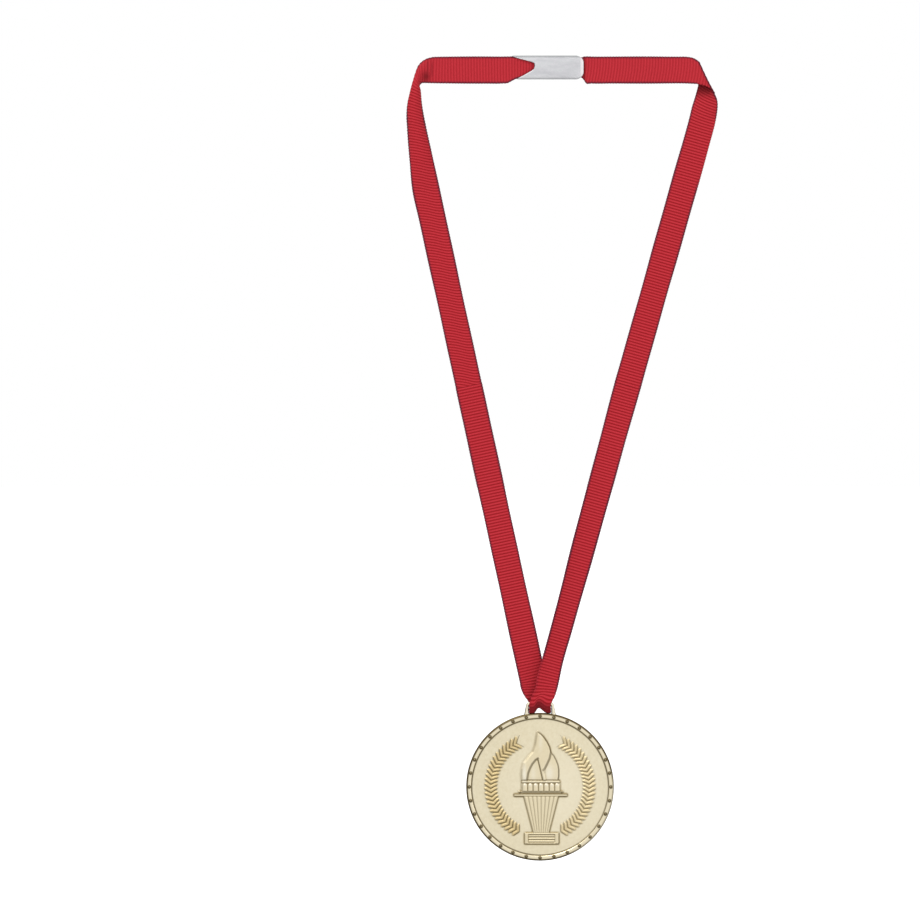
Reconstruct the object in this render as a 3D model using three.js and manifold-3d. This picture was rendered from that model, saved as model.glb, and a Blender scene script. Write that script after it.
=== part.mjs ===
// An award medal on a neck ribbon: a die-cast disc with a torch between two laurel branches, a bail cast
// on top of its rim, and a strip of half-inch ribbon that runs through the bail and is closed by a sleeve.
// Millimetres. +X is the viewer's right, the medal faces -Y, +Z is up.
// The origin is the centre of the disc's flat back face.

import * as THREE from 'three';
import Module from 'manifold-3d';
import { mergeVertices } from 'three/addons/utils/BufferGeometryUtils.js';

const wasm = await Module();
wasm.setup();

// ---- driving dimensions ----

const DISC_RADIUS = 35;
const DISC_THICKNESS = 3;
const RIM_WIDTH = 2.6;
const RIM_STEP = 0.7;
const RIM_SLOPE = 0.5;
const EDGE_CHAMFER = 0.4;

const BEAD_COUNT = 32;
const BEAD_RADIUS = 0.7;
const BEAD_RING_RADIUS = 33.5;
const BEAD_SUNK = 0.25;

const RELIEF = 0.5;
const RELIEF_ROOT = 0.4;

const LAUREL_RADIUS = 23.3;
const LAUREL_PAIRS = 26;
const LAUREL_TOP_ANGLE = 31;
const LAUREL_BOTTOM_ANGLE = 153;
const LEAF_REACH = 3.2;
const LEAF_RISE = 2.7;
const LEAF_BREADTH = 1.1;
const LEAF_TIP_BREADTH = 0.85;
const LEAF_TIP_CUT = 0.25;

const FLAME_FOOT_Z = 2.8;
const TORCH_X = 0.5;
const BOWL_HALF = 9.1;
const FLUTE_COUNT = 7;
const FLUTE_PITCH = 2.6;
const FLUTE_RADIUS = 1.2;
const FLUTE_TOP = 1.8;
const FLUTE_BOTTOM = -2;
const SHAFT_TOP_Z = -4.35;
const SHAFT_BOTTOM_Z = -21.8;
const SHAFT_TOP_HALF = 8.2;
const SHAFT_BOTTOM_HALF = 3.8;
const SHAFT_RIDGES = 8;
const PEDESTAL_X = 0.8;
const PEDESTAL_HALF = 8.1;
const PEDESTAL_TOP = -21.75;
const PEDESTAL_BOTTOM = -27;
const PEDESTAL_BORDER_X = 1.1;
const PEDESTAL_BORDER_Z = 0.75;
const PEDESTAL_BARS = 3;
const PEDESTAL_BAR_HALF = 6.3;
const PEDESTAL_BAR_HEIGHT = 0.5;

const BAIL_THICKNESS = 2;
const BAIL_BAR = 2;
const BAIL_TOP = 40.4;
const BAIL_CORNER = 1.2;
const BAIL_FOOT_Z = 33;
const BAIL_FOOT_HALF = 7.6;
const BAIL_TOP_HALF = 6.4;
const SLOT_FOOT_Z = 33.6;
const SLOT_HALF = 5.3;

const RIBBON_WIDTH = 12.7;
const RIBBON_THICKNESS = 0.8;
const RIBBON_IN_SLOT = 10;
const BIGHT_INNER_RADIUS = 1.6;

// Each strap is a straight run between the bail and the neck band. Its centre line starts at the point given
// here and moves sideways by its slope for each millimetre of height.
const STRAP_START_X = -1;
const STRAP_START_Z = 40;
const RIGHT_SLOPE = 0.283;
const LEFT_SLOPE = -0.218;

// The ribbon is as narrow as the slot up to the first height. Its edges are back at full width at the others.
const TUCK_Z = 41.1;
const TUCK_END_NEAR = 43.4;
const TUCK_END_FAR = 44.2;

const BAND_Z = 339.7;
const FOLD_Z = 331;
const FOLD_GAP = 0.6;

const SWAY_Z = 46;
const SWAY_RADIUS = 12;
const SWAY_GAP = 0.4;

const SLEEVE_Z = 340.9;
const SLEEVE_HEIGHT = 11.2;
const SLEEVE_DEPTH = 2.8;
const SLEEVE_WALL = 0.5;
const SLEEVE_CORNER = 1.2;
const SLEEVE_RIGHT = 20.6;
const SLEEVE_WING_TIP = -13;
const SLEEVE_LOW_WING_TIP = -11;
const SLEEVE_MOUTH = -2.5;
const SLEEVE_CLEARANCE = 0.3;

// The ribbon's two ends meet inside the sleeve. It narrows to fit over a run just outside each end of it.
const BUTT_X = 9;
const BUTT_GAP = 0.2;
const TUCK_LEAD = 0.5;
const LEFT_TUCK_RUN = 6;
const RIGHT_TUCK_RUN = 2.5;

const DISC_SEGMENTS = 96;
const CURVE_SEGMENTS = 8;
const BEND_SEGMENTS = 12;
const SWAY_SEGMENTS = 64;
const BEAD_SEGMENTS = 10;
const BEAD_RINGS = 6;
const FLUTE_SEGMENTS = 10;

// Half the side of a block that reaches past the whole object.
const BEYOND = 500;

// ---- places that follow from them ----

const FIELD_Y = -(DISC_THICKNESS - RIM_STEP);
const MID_Y = -DISC_THICKNESS / 2;
const BAR_Z = BAIL_TOP - BAIL_BAR / 2;
const HALF_RIBBON = RIBBON_THICKNESS / 2;
const LEG_OFFSET = BIGHT_INNER_RADIUS + HALF_RIBBON;
const BAND_TOP = BAND_Z + RIBBON_WIDTH / 2;
const BAND_BOTTOM = BAND_Z - RIBBON_WIDTH / 2;
const TUCKED_HALF = SLEEVE_HEIGHT / 2 - SLEEVE_WALL - SLEEVE_CLEARANCE;

// ---- materials ----

const gold = new THREE.MeshStandardMaterial({ color: 0xe3d3a0, roughness: 0.32, metalness: 1 });
const silver = new THREE.MeshStandardMaterial({ color: 0xd3d6db, roughness: 0.4, metalness: 0.6 });

function ribbonRed() {
  return new THREE.MeshStandardMaterial({ color: 0xb6283a, roughness: 0.85, metalness: 0 });
}

// ---- helpers ----

function shapeOf(points) {
  return new THREE.Shape(points.map(([a, b]) => new THREE.Vector2(a, b)));
}

// An outline in X and Z, given thickness along Y between yFront and yBack (yFront is the lower number).
function plate(shape, yFront, yBack) {
  const depth = yBack - yFront;
  const curveSegments = CURVE_SEGMENTS;
  const geometry = new THREE.ExtrudeGeometry(shape, { depth, bevelEnabled: false, curveSegments });
  geometry.rotateX(Math.PI / 2);
  geometry.translate(0, yBack, 0);
  return geometry;
}

// A section in Y and Z, drawn out along X between xLeft and xRight.
function bar(shape, xLeft, xRight, curveSegments = CURVE_SEGMENTS) {
  const depth = xRight - xLeft;
  const geometry = new THREE.ExtrudeGeometry(shape, { depth, bevelEnabled: false, curveSegments });
  const turn = new THREE.Matrix4().makeBasis(
    new THREE.Vector3(0, 1, 0),
    new THREE.Vector3(0, 0, 1),
    new THREE.Vector3(1, 0, 0),
  );
  geometry.applyMatrix4(turn);
  geometry.translate(xLeft, 0, 0);
  return geometry;
}

function box(x0, x1, yFront, yBack, z0, z1) {
  const geometry = new THREE.BoxGeometry(x1 - x0, yBack - yFront, z1 - z0);
  geometry.translate((x0 + x1) / 2, (yFront + yBack) / 2, (z0 + z1) / 2);
  return geometry;
}

function solid(geometry) {
  const bare = geometry.clone();
  bare.deleteAttribute('normal');
  bare.deleteAttribute('uv');
  const merged = mergeVertices(bare, 1e-5);
  const vertProperties = new Float32Array(merged.attributes.position.array);
  const triVerts = new Uint32Array(merged.index.array);
  return new wasm.Manifold(new wasm.Mesh({ numProp: 3, vertProperties, triVerts }));
}

function join(geometries) {
  return geometries.map(solid).reduce((sum, next) => sum.add(next));
}

function geometryOf(manifold) {
  const mesh = manifold.getMesh();
  const geometry = new THREE.BufferGeometry();
  geometry.setAttribute('position', new THREE.BufferAttribute(mesh.vertProperties, 3));
  geometry.setIndex(new THREE.BufferAttribute(mesh.triVerts, 1));
  geometry.computeVertexNormals();
  return geometry;
}

function named(name, geometry, material) {
  const mesh = new THREE.Mesh(geometry, material);
  mesh.name = name;
  return mesh;
}

// ---- medal casting ----

// The disc is turned about Y: flat back, chamfered edge, raised rim, sunk field.
function discBlank() {
  const rimInner = DISC_RADIUS - RIM_WIDTH;
  const profile = [
    [0, FIELD_Y],
    [rimInner - RIM_SLOPE, FIELD_Y],
    [rimInner, -DISC_THICKNESS],
    [DISC_RADIUS - EDGE_CHAMFER, -DISC_THICKNESS],
    [DISC_RADIUS, -DISC_THICKNESS + EDGE_CHAMFER],
    [DISC_RADIUS, -EDGE_CHAMFER],
    [DISC_RADIUS - EDGE_CHAMFER, 0],
    [0, 0],
  ].map(([r, y]) => new THREE.Vector2(r, y));
  return new THREE.LatheGeometry(profile, DISC_SEGMENTS);
}

function rimBeads() {
  const beads = [];
  for (let i = 0; i < BEAD_COUNT; i += 1) {
    const angle = (i / BEAD_COUNT) * 2 * Math.PI;
    const bead = new THREE.SphereGeometry(BEAD_RADIUS, BEAD_SEGMENTS, BEAD_RINGS);
    bead.translate(
      BEAD_RING_RADIUS * Math.sin(angle),
      -DISC_THICKNESS + BEAD_SUNK,
      BEAD_RING_RADIUS * Math.cos(angle),
    );
    beads.push(bead);
  }
  return beads;
}

// Anything raised from the field starts below its surface, so that it joins the disc.
// Its height is a share of the full relief.
function raised(shape, share = 1) {
  return plate(shape, FIELD_Y - RELIEF * share, FIELD_Y + RELIEF_ROOT);
}

function raisedBar(x0, x1, z0, z1, share = 1) {
  return box(x0, x1, FIELD_Y - RELIEF * share, FIELD_Y + RELIEF_ROOT, z0, z1);
}

// Two leaves that meet in a V on the stem. The V's point looks back down the branch.
function leafPair(angleDegrees, side) {
  const tip = LEAF_REACH - LEAF_TIP_CUT;
  const tipFoot = LEAF_RISE - LEAF_TIP_BREADTH;
  const outline = shapeOf([
    [0, -LEAF_BREADTH / 2],
    [tip, tipFoot],
    [LEAF_REACH, LEAF_RISE],
    [0, LEAF_BREADTH / 2],
    [-LEAF_REACH, LEAF_RISE],
    [-tip, tipFoot],
  ]);
  const geometry = raised(outline, 0.9);
  const angle = THREE.MathUtils.degToRad(angleDegrees) * side;
  geometry.rotateY(angle - (side * Math.PI) / 2);
  geometry.translate(LAUREL_RADIUS * Math.sin(angle), 0, LAUREL_RADIUS * Math.cos(angle));
  return geometry;
}

function laurels() {
  const leaves = [];
  for (const side of [-1, 1]) {
    for (let i = 0; i < LAUREL_PAIRS; i += 1) {
      const share = i / (LAUREL_PAIRS - 1);
      leaves.push(leafPair(THREE.MathUtils.lerp(LAUREL_TOP_ANGLE, LAUREL_BOTTOM_ANGLE, share), side));
    }
  }
  return leaves;
}

// The flame's outer outline: a tall tongue that leans left at its tip, and a lower one on its right.
function flameOutline() {
  const shape = new THREE.Shape();
  shape.moveTo(-8.6, FLAME_FOOT_Z);
  shape.bezierCurveTo(-9, 9, -6.6, 13, -3.6, 16.6);
  shape.bezierCurveTo(-1.6, 19.4, -1.8, 23, -1, 26.1);
  shape.bezierCurveTo(2.6, 23.6, 4.8, 19.6, 5.1, 15.9);
  shape.bezierCurveTo(7.4, 13, 8.6, 8, 8.6, FLAME_FOOT_Z);
  shape.closePath();
  return shape;
}

// The small tongue inside the flame, and the hollow on the right of the tall tongue.
function flameHollows() {
  const inner = shapeOf([
    [-5.6, FLAME_FOOT_Z],
    [-5.2, 7],
    [-3.6, 10.6],
    [-1, 13.2],
    [0.3, 9.4],
    [2, FLAME_FOOT_Z],
  ]);
  const right = shapeOf([
    [3, FLAME_FOOT_Z],
    [2.2, 8.4],
    [3.8, 12],
    [5.2, 15.2],
    [7, 11.6],
    [7.9, 7.6],
    [8, FLAME_FOOT_Z],
  ]);
  const floorY = FIELD_Y - RELIEF * 0.4;
  return [inner, right].map((shape) => plate(shape, FIELD_Y - RELIEF * 2, floorY));
}

// The bowl is a row of upright flutes under a lip, standing on a ledge and a wide plate.
function torchBowl() {
  const across = (half, z0, z1, share) => raisedBar(TORCH_X - half, TORCH_X + half, z0, z1, share);
  const lip = across(BOWL_HALF, 1.9, FLAME_FOOT_Z + 0.2);
  const ground = across(BOWL_HALF, -3.35, 1.95, 0.3);
  const ledge = across(10.5, -2.6, -1.95);
  const wide = across(12.6, -4.4, -3.3);
  const flutes = [];
  for (let i = 0; i < FLUTE_COUNT; i += 1) {
    const place = i - (FLUTE_COUNT - 1) / 2;
    const height = FLUTE_TOP - FLUTE_BOTTOM;
    const flute = new THREE.CylinderGeometry(FLUTE_RADIUS, FLUTE_RADIUS, height, FLUTE_SEGMENTS);
    flute.rotateX(Math.PI / 2);
    flute.scale(1, 0.5, 1);
    flute.translate(TORCH_X + place * FLUTE_PITCH, FIELD_Y - RELIEF * 0.2, (FLUTE_TOP + FLUTE_BOTTOM) / 2);
    flutes.push(flute);
  }
  return [lip, ground, ledge, wide, ...flutes];
}

// A stretch of the tapered shaft between two shares of its width, counted from the left.
function shaftStrip(left, right, share) {
  const at = (half, across) => TORCH_X - half + 2 * half * across;
  const outline = shapeOf([
    [at(SHAFT_BOTTOM_HALF, left), SHAFT_BOTTOM_Z],
    [at(SHAFT_BOTTOM_HALF, right), SHAFT_BOTTOM_Z],
    [at(SHAFT_TOP_HALF, right), SHAFT_TOP_Z],
    [at(SHAFT_TOP_HALF, left), SHAFT_TOP_Z],
  ]);
  return raised(outline, share);
}

function torchShaft() {
  const ridges = [];
  for (let i = 0; i < SHAFT_RIDGES; i += 1) {
    ridges.push(shaftStrip((i + 0.2) / SHAFT_RIDGES, (i + 0.8) / SHAFT_RIDGES, 0.8));
  }
  return [shaftStrip(0, 1, 0.5), ...ridges];
}

// A framed block with three level bars.
function torchPedestal() {
  const left = PEDESTAL_X - PEDESTAL_HALF;
  const right = PEDESTAL_X + PEDESTAL_HALF;
  const parts = [
    raisedBar(left, right, PEDESTAL_TOP - PEDESTAL_BORDER_Z, PEDESTAL_TOP),
    raisedBar(left, right, PEDESTAL_BOTTOM, PEDESTAL_BOTTOM + PEDESTAL_BORDER_Z),
    raisedBar(left, left + PEDESTAL_BORDER_X, PEDESTAL_BOTTOM, PEDESTAL_TOP),
    raisedBar(right - PEDESTAL_BORDER_X, right, PEDESTAL_BOTTOM, PEDESTAL_TOP),
    raisedBar(left + 0.2, right - 0.2, PEDESTAL_BOTTOM + 0.2, PEDESTAL_TOP - 0.2, 0.4),
  ];
  const x0 = PEDESTAL_X - PEDESTAL_BAR_HALF;
  const x1 = PEDESTAL_X + PEDESTAL_BAR_HALF;
  for (let i = 1; i <= PEDESTAL_BARS; i += 1) {
    const z = THREE.MathUtils.lerp(PEDESTAL_BOTTOM, PEDESTAL_TOP, i / (PEDESTAL_BARS + 1));
    parts.push(raisedBar(x0, x1, z - PEDESTAL_BAR_HEIGHT / 2, z + PEDESTAL_BAR_HEIGHT / 2, 0.8));
  }
  return parts;
}

// The bail is a flat four-sided loop. Its feet run down into the rim, and its top bar carries the ribbon.
function bail() {
  const shape = new THREE.Shape();
  shape.moveTo(-BAIL_FOOT_HALF, BAIL_FOOT_Z);
  shape.lineTo(BAIL_FOOT_HALF, BAIL_FOOT_Z);
  shape.lineTo(BAIL_TOP_HALF, BAIL_TOP - BAIL_CORNER);
  shape.quadraticCurveTo(BAIL_TOP_HALF, BAIL_TOP, BAIL_TOP_HALF - BAIL_CORNER, BAIL_TOP);
  shape.lineTo(-BAIL_TOP_HALF + BAIL_CORNER, BAIL_TOP);
  shape.quadraticCurveTo(-BAIL_TOP_HALF, BAIL_TOP, -BAIL_TOP_HALF, BAIL_TOP - BAIL_CORNER);
  shape.closePath();
  const slotTop = BAIL_TOP - BAIL_BAR;
  const slot = new THREE.Path();
  slot.moveTo(-SLOT_HALF, SLOT_FOOT_Z);
  slot.lineTo(-SLOT_HALF, slotTop);
  slot.lineTo(SLOT_HALF, slotTop);
  slot.lineTo(SLOT_HALF, SLOT_FOOT_Z);
  slot.closePath();
  shape.holes.push(slot);
  return plate(shape, MID_Y - BAIL_THICKNESS / 2, MID_Y + BAIL_THICKNESS / 2);
}

function medalCasting() {
  const flame = solid(raised(flameOutline())).subtract(join(flameHollows()));
  return join([
    discBlank(),
    bail(),
    ...rimBeads(),
    ...laurels(),
    ...torchBowl(),
    ...torchShaft(),
    ...torchPedestal(),
  ]).add(flame);
}

// ---- neck ribbon ----

// The point at a height on a strap's left (side -1) or right (side 1) edge.
function strapEdge(slope, side, z) {
  const halfAcross = (RIBBON_WIDTH / 2) * Math.hypot(1, slope);
  return [STRAP_START_X + slope * (z - STRAP_START_Z) + side * halfAcross, z];
}

// Below its straight run the ribbon is tucked in to fit the slot.
function tuckedFoot(slope, side) {
  const leansAway = side * slope < 0;
  const tucked = (side * RIBBON_IN_SLOT) / 2;
  return [
    [tucked, BAR_Z],
    [tucked, TUCK_Z],
    strapEdge(slope, side, leansAway ? TUCK_END_NEAR : TUCK_END_FAR),
  ];
}

// At the right the ribbon folds over behind the neck band, at the left it is gathered to a narrow neck.
const RIGHT_FOLD = { inner: 74.9, outer: 81.5 };
const LEFT_FOLD = { inner: -57.2, outer: -60.9 };
const RIGHT_TOP = {
  inner: [[70.8, 317.4], [73.3, 326], [RIGHT_FOLD.inner, FOLD_Z]],
  outer: [[82.4, 311.5], [84.1, 319.5], [84.4, 324], [83.5, 327.5], [RIGHT_FOLD.outer, FOLD_Z]],
};
const LEFT_TOP = {
  inner: [[-47.7, 284], [-54.3, 313.6], [-56.2, 323], [LEFT_FOLD.inner, FOLD_Z]],
  outer: [[-60.7, 284], [-62.9, 312], [-63.1, 320], [-62.5, 325], [LEFT_FOLD.outer, FOLD_Z]],
};

function strapOutline(slope) {
  const right = slope > 0;
  const top = right ? RIGHT_TOP : LEFT_TOP;
  const innerSide = right ? -1 : 1;
  return shapeOf([
    ...tuckedFoot(slope, innerSide),
    ...top.inner,
    ...top.outer.toReversed(),
    ...tuckedFoot(slope, -innerSide).toReversed(),
  ]);
}

function swayCylinder(radius) {
  const cylinder = new THREE.CylinderGeometry(radius, radius, BEYOND, SWAY_SEGMENTS);
  cylinder.translate(0, 0, SWAY_Z);
  return solid(cylinder);
}

function belowFold() {
  return solid(box(-BEYOND, BEYOND, -BEYOND, BEYOND, 0, FOLD_Z - FOLD_GAP));
}

// A strap hangs from the fold line and leans in depth, so that its foot meets a leg of the bight.
function strap(name, slope, side) {
  const flat = solid(plate(strapOutline(slope), -HALF_RIBBON, HALF_RIBBON))
    .intersect(belowFold())
    .subtract(swayCylinder(SWAY_RADIUS + SWAY_GAP));
  const geometry = geometryOf(flat);
  geometry.translate(0, 0, -FOLD_Z);
  const mesh = named(name, geometry, ribbonRed());
  mesh.position.set(0, MID_Y, FOLD_Z);
  mesh.rotation.x = Math.atan((side * LEG_OFFSET) / (FOLD_Z - SWAY_Z - SWAY_RADIUS));
  return mesh;
}

// The bight is the ribbon's U-bend under the bail's top bar, with the first stretch of both straps.
function bight() {
  const ring = new THREE.Shape();
  ring.absarc(MID_Y, BAR_Z, BIGHT_INNER_RADIUS + RIBBON_THICKNESS, Math.PI, 2 * Math.PI, false);
  ring.absarc(MID_Y, BAR_Z, BIGHT_INNER_RADIUS, 2 * Math.PI, Math.PI, true);
  ring.closePath();
  const bend = solid(bar(ring, -RIBBON_IN_SLOT / 2, RIBBON_IN_SLOT / 2, BEND_SEGMENTS));
  const leg = (slope, y) => solid(plate(strapOutline(slope), y - HALF_RIBBON, y + HALF_RIBBON));
  const legs = leg(RIGHT_SLOPE, MID_Y - LEG_OFFSET)
    .add(leg(LEFT_SLOPE, MID_Y + LEG_OFFSET))
    .intersect(swayCylinder(SWAY_RADIUS));
  return bend.add(legs);
}

// The band from its end in the sleeve to the left corner, where it is gathered to the fold line.
function bandLeft() {
  const foldTop = FOLD_Z + FOLD_GAP;
  const end = BUTT_X - BUTT_GAP;
  const tuckX = SLEEVE_WING_TIP - TUCK_LEAD;
  const shape = shapeOf([
    [end, SLEEVE_Z - TUCKED_HALF],
    [end, SLEEVE_Z + TUCKED_HALF],
    [tuckX, SLEEVE_Z + TUCKED_HALF],
    [tuckX - LEFT_TUCK_RUN, BAND_TOP],
    [-53.5, BAND_TOP],
    [-56.8, 343.2],
    [-59.2, 337.5],
    [LEFT_FOLD.outer, foldTop],
    [LEFT_FOLD.inner, foldTop],
    [-56.4, BAND_BOTTOM],
    [tuckX - LEFT_TUCK_RUN, BAND_BOTTOM],
    [tuckX, SLEEVE_Z - TUCKED_HALF],
  ]);
  return plate(shape, MID_Y - HALF_RIBBON, MID_Y + HALF_RIBBON);
}

// The band from its end in the sleeve to the right corner, where it is folded over.
function bandRight() {
  const foldTop = FOLD_Z + FOLD_GAP;
  const end = BUTT_X + BUTT_GAP;
  const tuckX = SLEEVE_RIGHT + TUCK_LEAD;
  const shape = shapeOf([
    [end, SLEEVE_Z + TUCKED_HALF],
    [end, SLEEVE_Z - TUCKED_HALF],
    [tuckX, SLEEVE_Z - TUCKED_HALF],
    [tuckX + RIGHT_TUCK_RUN, BAND_BOTTOM],
    [70, BAND_BOTTOM],
    [RIGHT_FOLD.inner, foldTop],
    [RIGHT_FOLD.outer, foldTop],
    [75.4, 343.3],
    [71, BAND_TOP],
    [tuckX + RIGHT_TUCK_RUN, BAND_TOP],
    [tuckX, SLEEVE_Z + TUCKED_HALF],
  ]);
  return plate(shape, MID_Y - HALF_RIBBON, MID_Y + HALF_RIBBON);
}

// ---- joining sleeve ----

function roundedSection(target, height, depth, radius) {
  const y0 = MID_Y - depth / 2;
  const y1 = MID_Y + depth / 2;
  const z0 = SLEEVE_Z - height / 2;
  const z1 = SLEEVE_Z + height / 2;
  target.moveTo(y0 + radius, z0);
  target.lineTo(y1 - radius, z0);
  target.quadraticCurveTo(y1, z0, y1, z0 + radius);
  target.lineTo(y1, z1 - radius);
  target.quadraticCurveTo(y1, z1, y1 - radius, z1);
  target.lineTo(y0 + radius, z1);
  target.quadraticCurveTo(y0, z1, y0, z1 - radius);
  target.lineTo(y0, z0 + radius);
  target.quadraticCurveTo(y0, z0, y0 + radius, z0);
  return target;
}

// What the sleeve's left end is cut away by: a fish mouth between a low wing and a longer upper wing.
function mouth() {
  const high = SLEEVE_HEIGHT / 2 + 0.4;
  const past = SLEEVE_WING_TIP - 1;
  const shape = new THREE.Shape();
  shape.moveTo(past, -high);
  shape.lineTo(SLEEVE_LOW_WING_TIP, -high);
  shape.quadraticCurveTo(SLEEVE_MOUTH - 3, -3.6, SLEEVE_MOUTH, -1);
  shape.quadraticCurveTo(SLEEVE_MOUTH + 0.5, 0.6, SLEEVE_MOUTH, 2);
  shape.quadraticCurveTo(SLEEVE_MOUTH - 4, 3.8, past, high);
  shape.closePath();
  const geometry = plate(shape, MID_Y - SLEEVE_DEPTH, MID_Y + 0.2);
  geometry.translate(0, 0, SLEEVE_Z);
  return solid(geometry);
}

// A flattened tube. The mouth is cut in its front only, so the wings stay joined at the back.
function sleeve() {
  const section = roundedSection(new THREE.Shape(), SLEEVE_HEIGHT, SLEEVE_DEPTH, SLEEVE_CORNER);
  const innerHeight = SLEEVE_HEIGHT - 2 * SLEEVE_WALL;
  const innerDepth = SLEEVE_DEPTH - 2 * SLEEVE_WALL;
  const innerCorner = SLEEVE_CORNER - SLEEVE_WALL;
  section.holes.push(roundedSection(new THREE.Path(), innerHeight, innerDepth, innerCorner));
  return solid(bar(section, SLEEVE_WING_TIP, SLEEVE_RIGHT)).subtract(mouth());
}

// ---- assembly ----

const medal = new THREE.Group();
medal.add(named('medal_casting', geometryOf(medalCasting()), gold));

const ribbon = new THREE.Group();
ribbon.add(named('ribbon_bight', geometryOf(bight()), ribbonRed()));
ribbon.add(strap('ribbon_strap_right', RIGHT_SLOPE, 1));
ribbon.add(strap('ribbon_strap_left', LEFT_SLOPE, -1));
ribbon.add(named('neck_ribbon_left', bandLeft(), ribbonRed()));
ribbon.add(named('neck_ribbon_right', bandRight(), ribbonRed()));

const part = new THREE.Group();
part.add(medal);
part.add(ribbon);
part.add(named('joining_sleeve', geometryOf(sleeve()), silver));

export default part;
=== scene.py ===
"""An award medal on a red grosgrain neck ribbon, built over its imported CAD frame.

Lengths in the tables below are millimetres in the CAD's frame: +X is the viewer's right, the medal
faces -Y, +Z is up, and the origin is the centre of the disc's flat back.
"""

import math

import bpy
import numpy as np
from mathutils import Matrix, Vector


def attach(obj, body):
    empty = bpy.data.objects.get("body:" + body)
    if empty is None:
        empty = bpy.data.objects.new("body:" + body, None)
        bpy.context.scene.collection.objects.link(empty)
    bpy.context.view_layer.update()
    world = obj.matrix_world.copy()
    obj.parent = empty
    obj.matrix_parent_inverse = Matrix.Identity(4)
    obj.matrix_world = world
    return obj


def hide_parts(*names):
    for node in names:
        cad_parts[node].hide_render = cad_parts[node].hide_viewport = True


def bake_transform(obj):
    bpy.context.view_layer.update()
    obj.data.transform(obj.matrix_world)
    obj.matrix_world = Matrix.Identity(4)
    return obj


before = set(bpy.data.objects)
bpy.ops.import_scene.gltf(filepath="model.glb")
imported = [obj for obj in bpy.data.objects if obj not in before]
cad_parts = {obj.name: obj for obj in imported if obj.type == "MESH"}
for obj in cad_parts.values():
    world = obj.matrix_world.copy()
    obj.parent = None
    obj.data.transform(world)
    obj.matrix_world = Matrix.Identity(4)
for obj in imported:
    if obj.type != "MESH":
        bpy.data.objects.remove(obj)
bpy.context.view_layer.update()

MM = 0.001

# ---- medal ----

FIELD_Y = -2.3
FIELD_EDGE = 32.75
FIELD_UNDERSIDE_Y = -1.5
GRID_STEP = 0.215
# A place counts as a hollow when it lies this far below the mean of the cells around it.
HOLLOW_DEPTH = 0.13
HOLLOW_CELLS = 2

# The disc's turned profile, as radius and Y: flat back, rounded edge, raised rim, hidden floor.
DISC_PROFILE = [
    (0, 0), (12, 0), (24, 0), (31, 0), (33.8, 0), (34.4, -0.01), (34.7, -0.08), (34.9, -0.24),
    (35, -0.5), (35, -1.2), (35, -1.9), (35, -2.3), (34.94, -2.52), (34.8, -2.72), (34.6, -2.88),
    (34.35, -2.97), (34.15, -3.0), (33.9, -3.01), (33.5, -3.02), (33.0, -3.0), (32.84, -2.95), (32.7, -2.82),
    (32.58, -2.62), (32.46, -2.4), (32.34, -2.2), (32.2, -2.05), (31.4, -1.9), (20, -1.9), (0, -1.9),
]
DISC_SEGMENTS = 576

BEAD_COUNT = 32
BEAD_RING_RADIUS = 33.5
BEAD_RADIUS = 0.72
BEAD_CENTRE_Y = -2.86

# The disc's front is tinted by depth, with its polish, painted shade and painted highlights: the rim's flat
# top, its front half, and all but the edge.
RIM_TOP_Y, RIM_FRONT_Y, EDGE_FRONT_Y = -2.9, -2.3, -1.8

LAUREL_RADIUS = 23.3
LAUREL_PAIRS = 26
LAUREL_TOP = 31.0
LAUREL_BOTTOM = 153.0
LEAF_REACH = 3.2
LEAF_HEIGHT = 0.4

TORCH_X = 0.5
FLAME_FOOT_Z = 2.9
FLAME_OUTLINE = [
    (-8.5, FLAME_FOOT_Z), (-8.75, 6.1), (-8.5, 8.4), (-7.7, 11.4), (-6.5, 12.9), (-5.2, 14.6),
    (-3.3, 16.7), (-2.2, 19.8), (-1.8, 22.6), (-1.5, 24.6), (-1.1, 26.1), (1.44, 23.94),
    (3.15, 21.47), (4.48, 18.81), (5.05, 16.4), (5.6, 15.7), (6.4, 14.8), (7.5, 12.7),
    (8.3, 10.6), (8.8, 7.97), (8.8, 5.1), (8.4, FLAME_FOOT_Z),
]
# The low parts of the flame: a small tongue in its foot, and the tongue on its right.
FLAME_INNER = [
    (-1.1, 13.7), (-2.2, 12.9), (-3.7, 11.0), (-4.85, 8.9), (-5.8, 6.45), (-6.3, 3.4),
    (-6.3, 1.5), (1.6, 1.5), (1.35, 3.4), (0.1, 8.7), (-0.75, 12.3),
]
FLAME_RIGHT = [
    (5.05, 16.6), (4.29, 13.3), (3.15, 10.8), (2.1, 8.4), (1.9, 7.0), (2.55, 3.4), (2.6, 1.5),
    (11, 1.5), (11, 10), (9, 14), (6.6, 16.6),
]
FLAME_HIGH = 0.62
FLAME_LOW = 0.26

# Boxes of the torch as left, right, bottom and top. Those of the bowl are measured from TORCH_X.
LIP = (-9.1, 8.9, 1.95, 3.05)
BOWL = (-9.3, 9.1, -2.1, 2.0)
FLUTED = (-9.1, 8.9, -2.05, 1.9)
FLUTE_PITCH = 2.55
FLUTE_TOP = 1.75
LEDGE = (-10.6, 10.5, -2.62, -2.02)
PLATE = (-12.8, 12.4, -4.45, -3.35)
NECK = (-9.4, 9.4, -3.5, -2.5)
SHAFT_TOP_Z, SHAFT_BOTTOM_Z = -4.4, -21.8
SHAFT_TOP_HALF, SHAFT_BOTTOM_HALF = 8.2, 3.75
SHAFT_RIDGES = 8
FOOT = (-7.3, 8.9, -27.0, -21.8)
FOOT_RECESS = (-5.7, 7.1, -26.45, -22.5)
FOOT_BARS_Z = (-23.15, -24.45, -25.7)
FOOT_BAR_X = (-5.4, 6.9)
FOOT_BAR_HALF = 0.33

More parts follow.
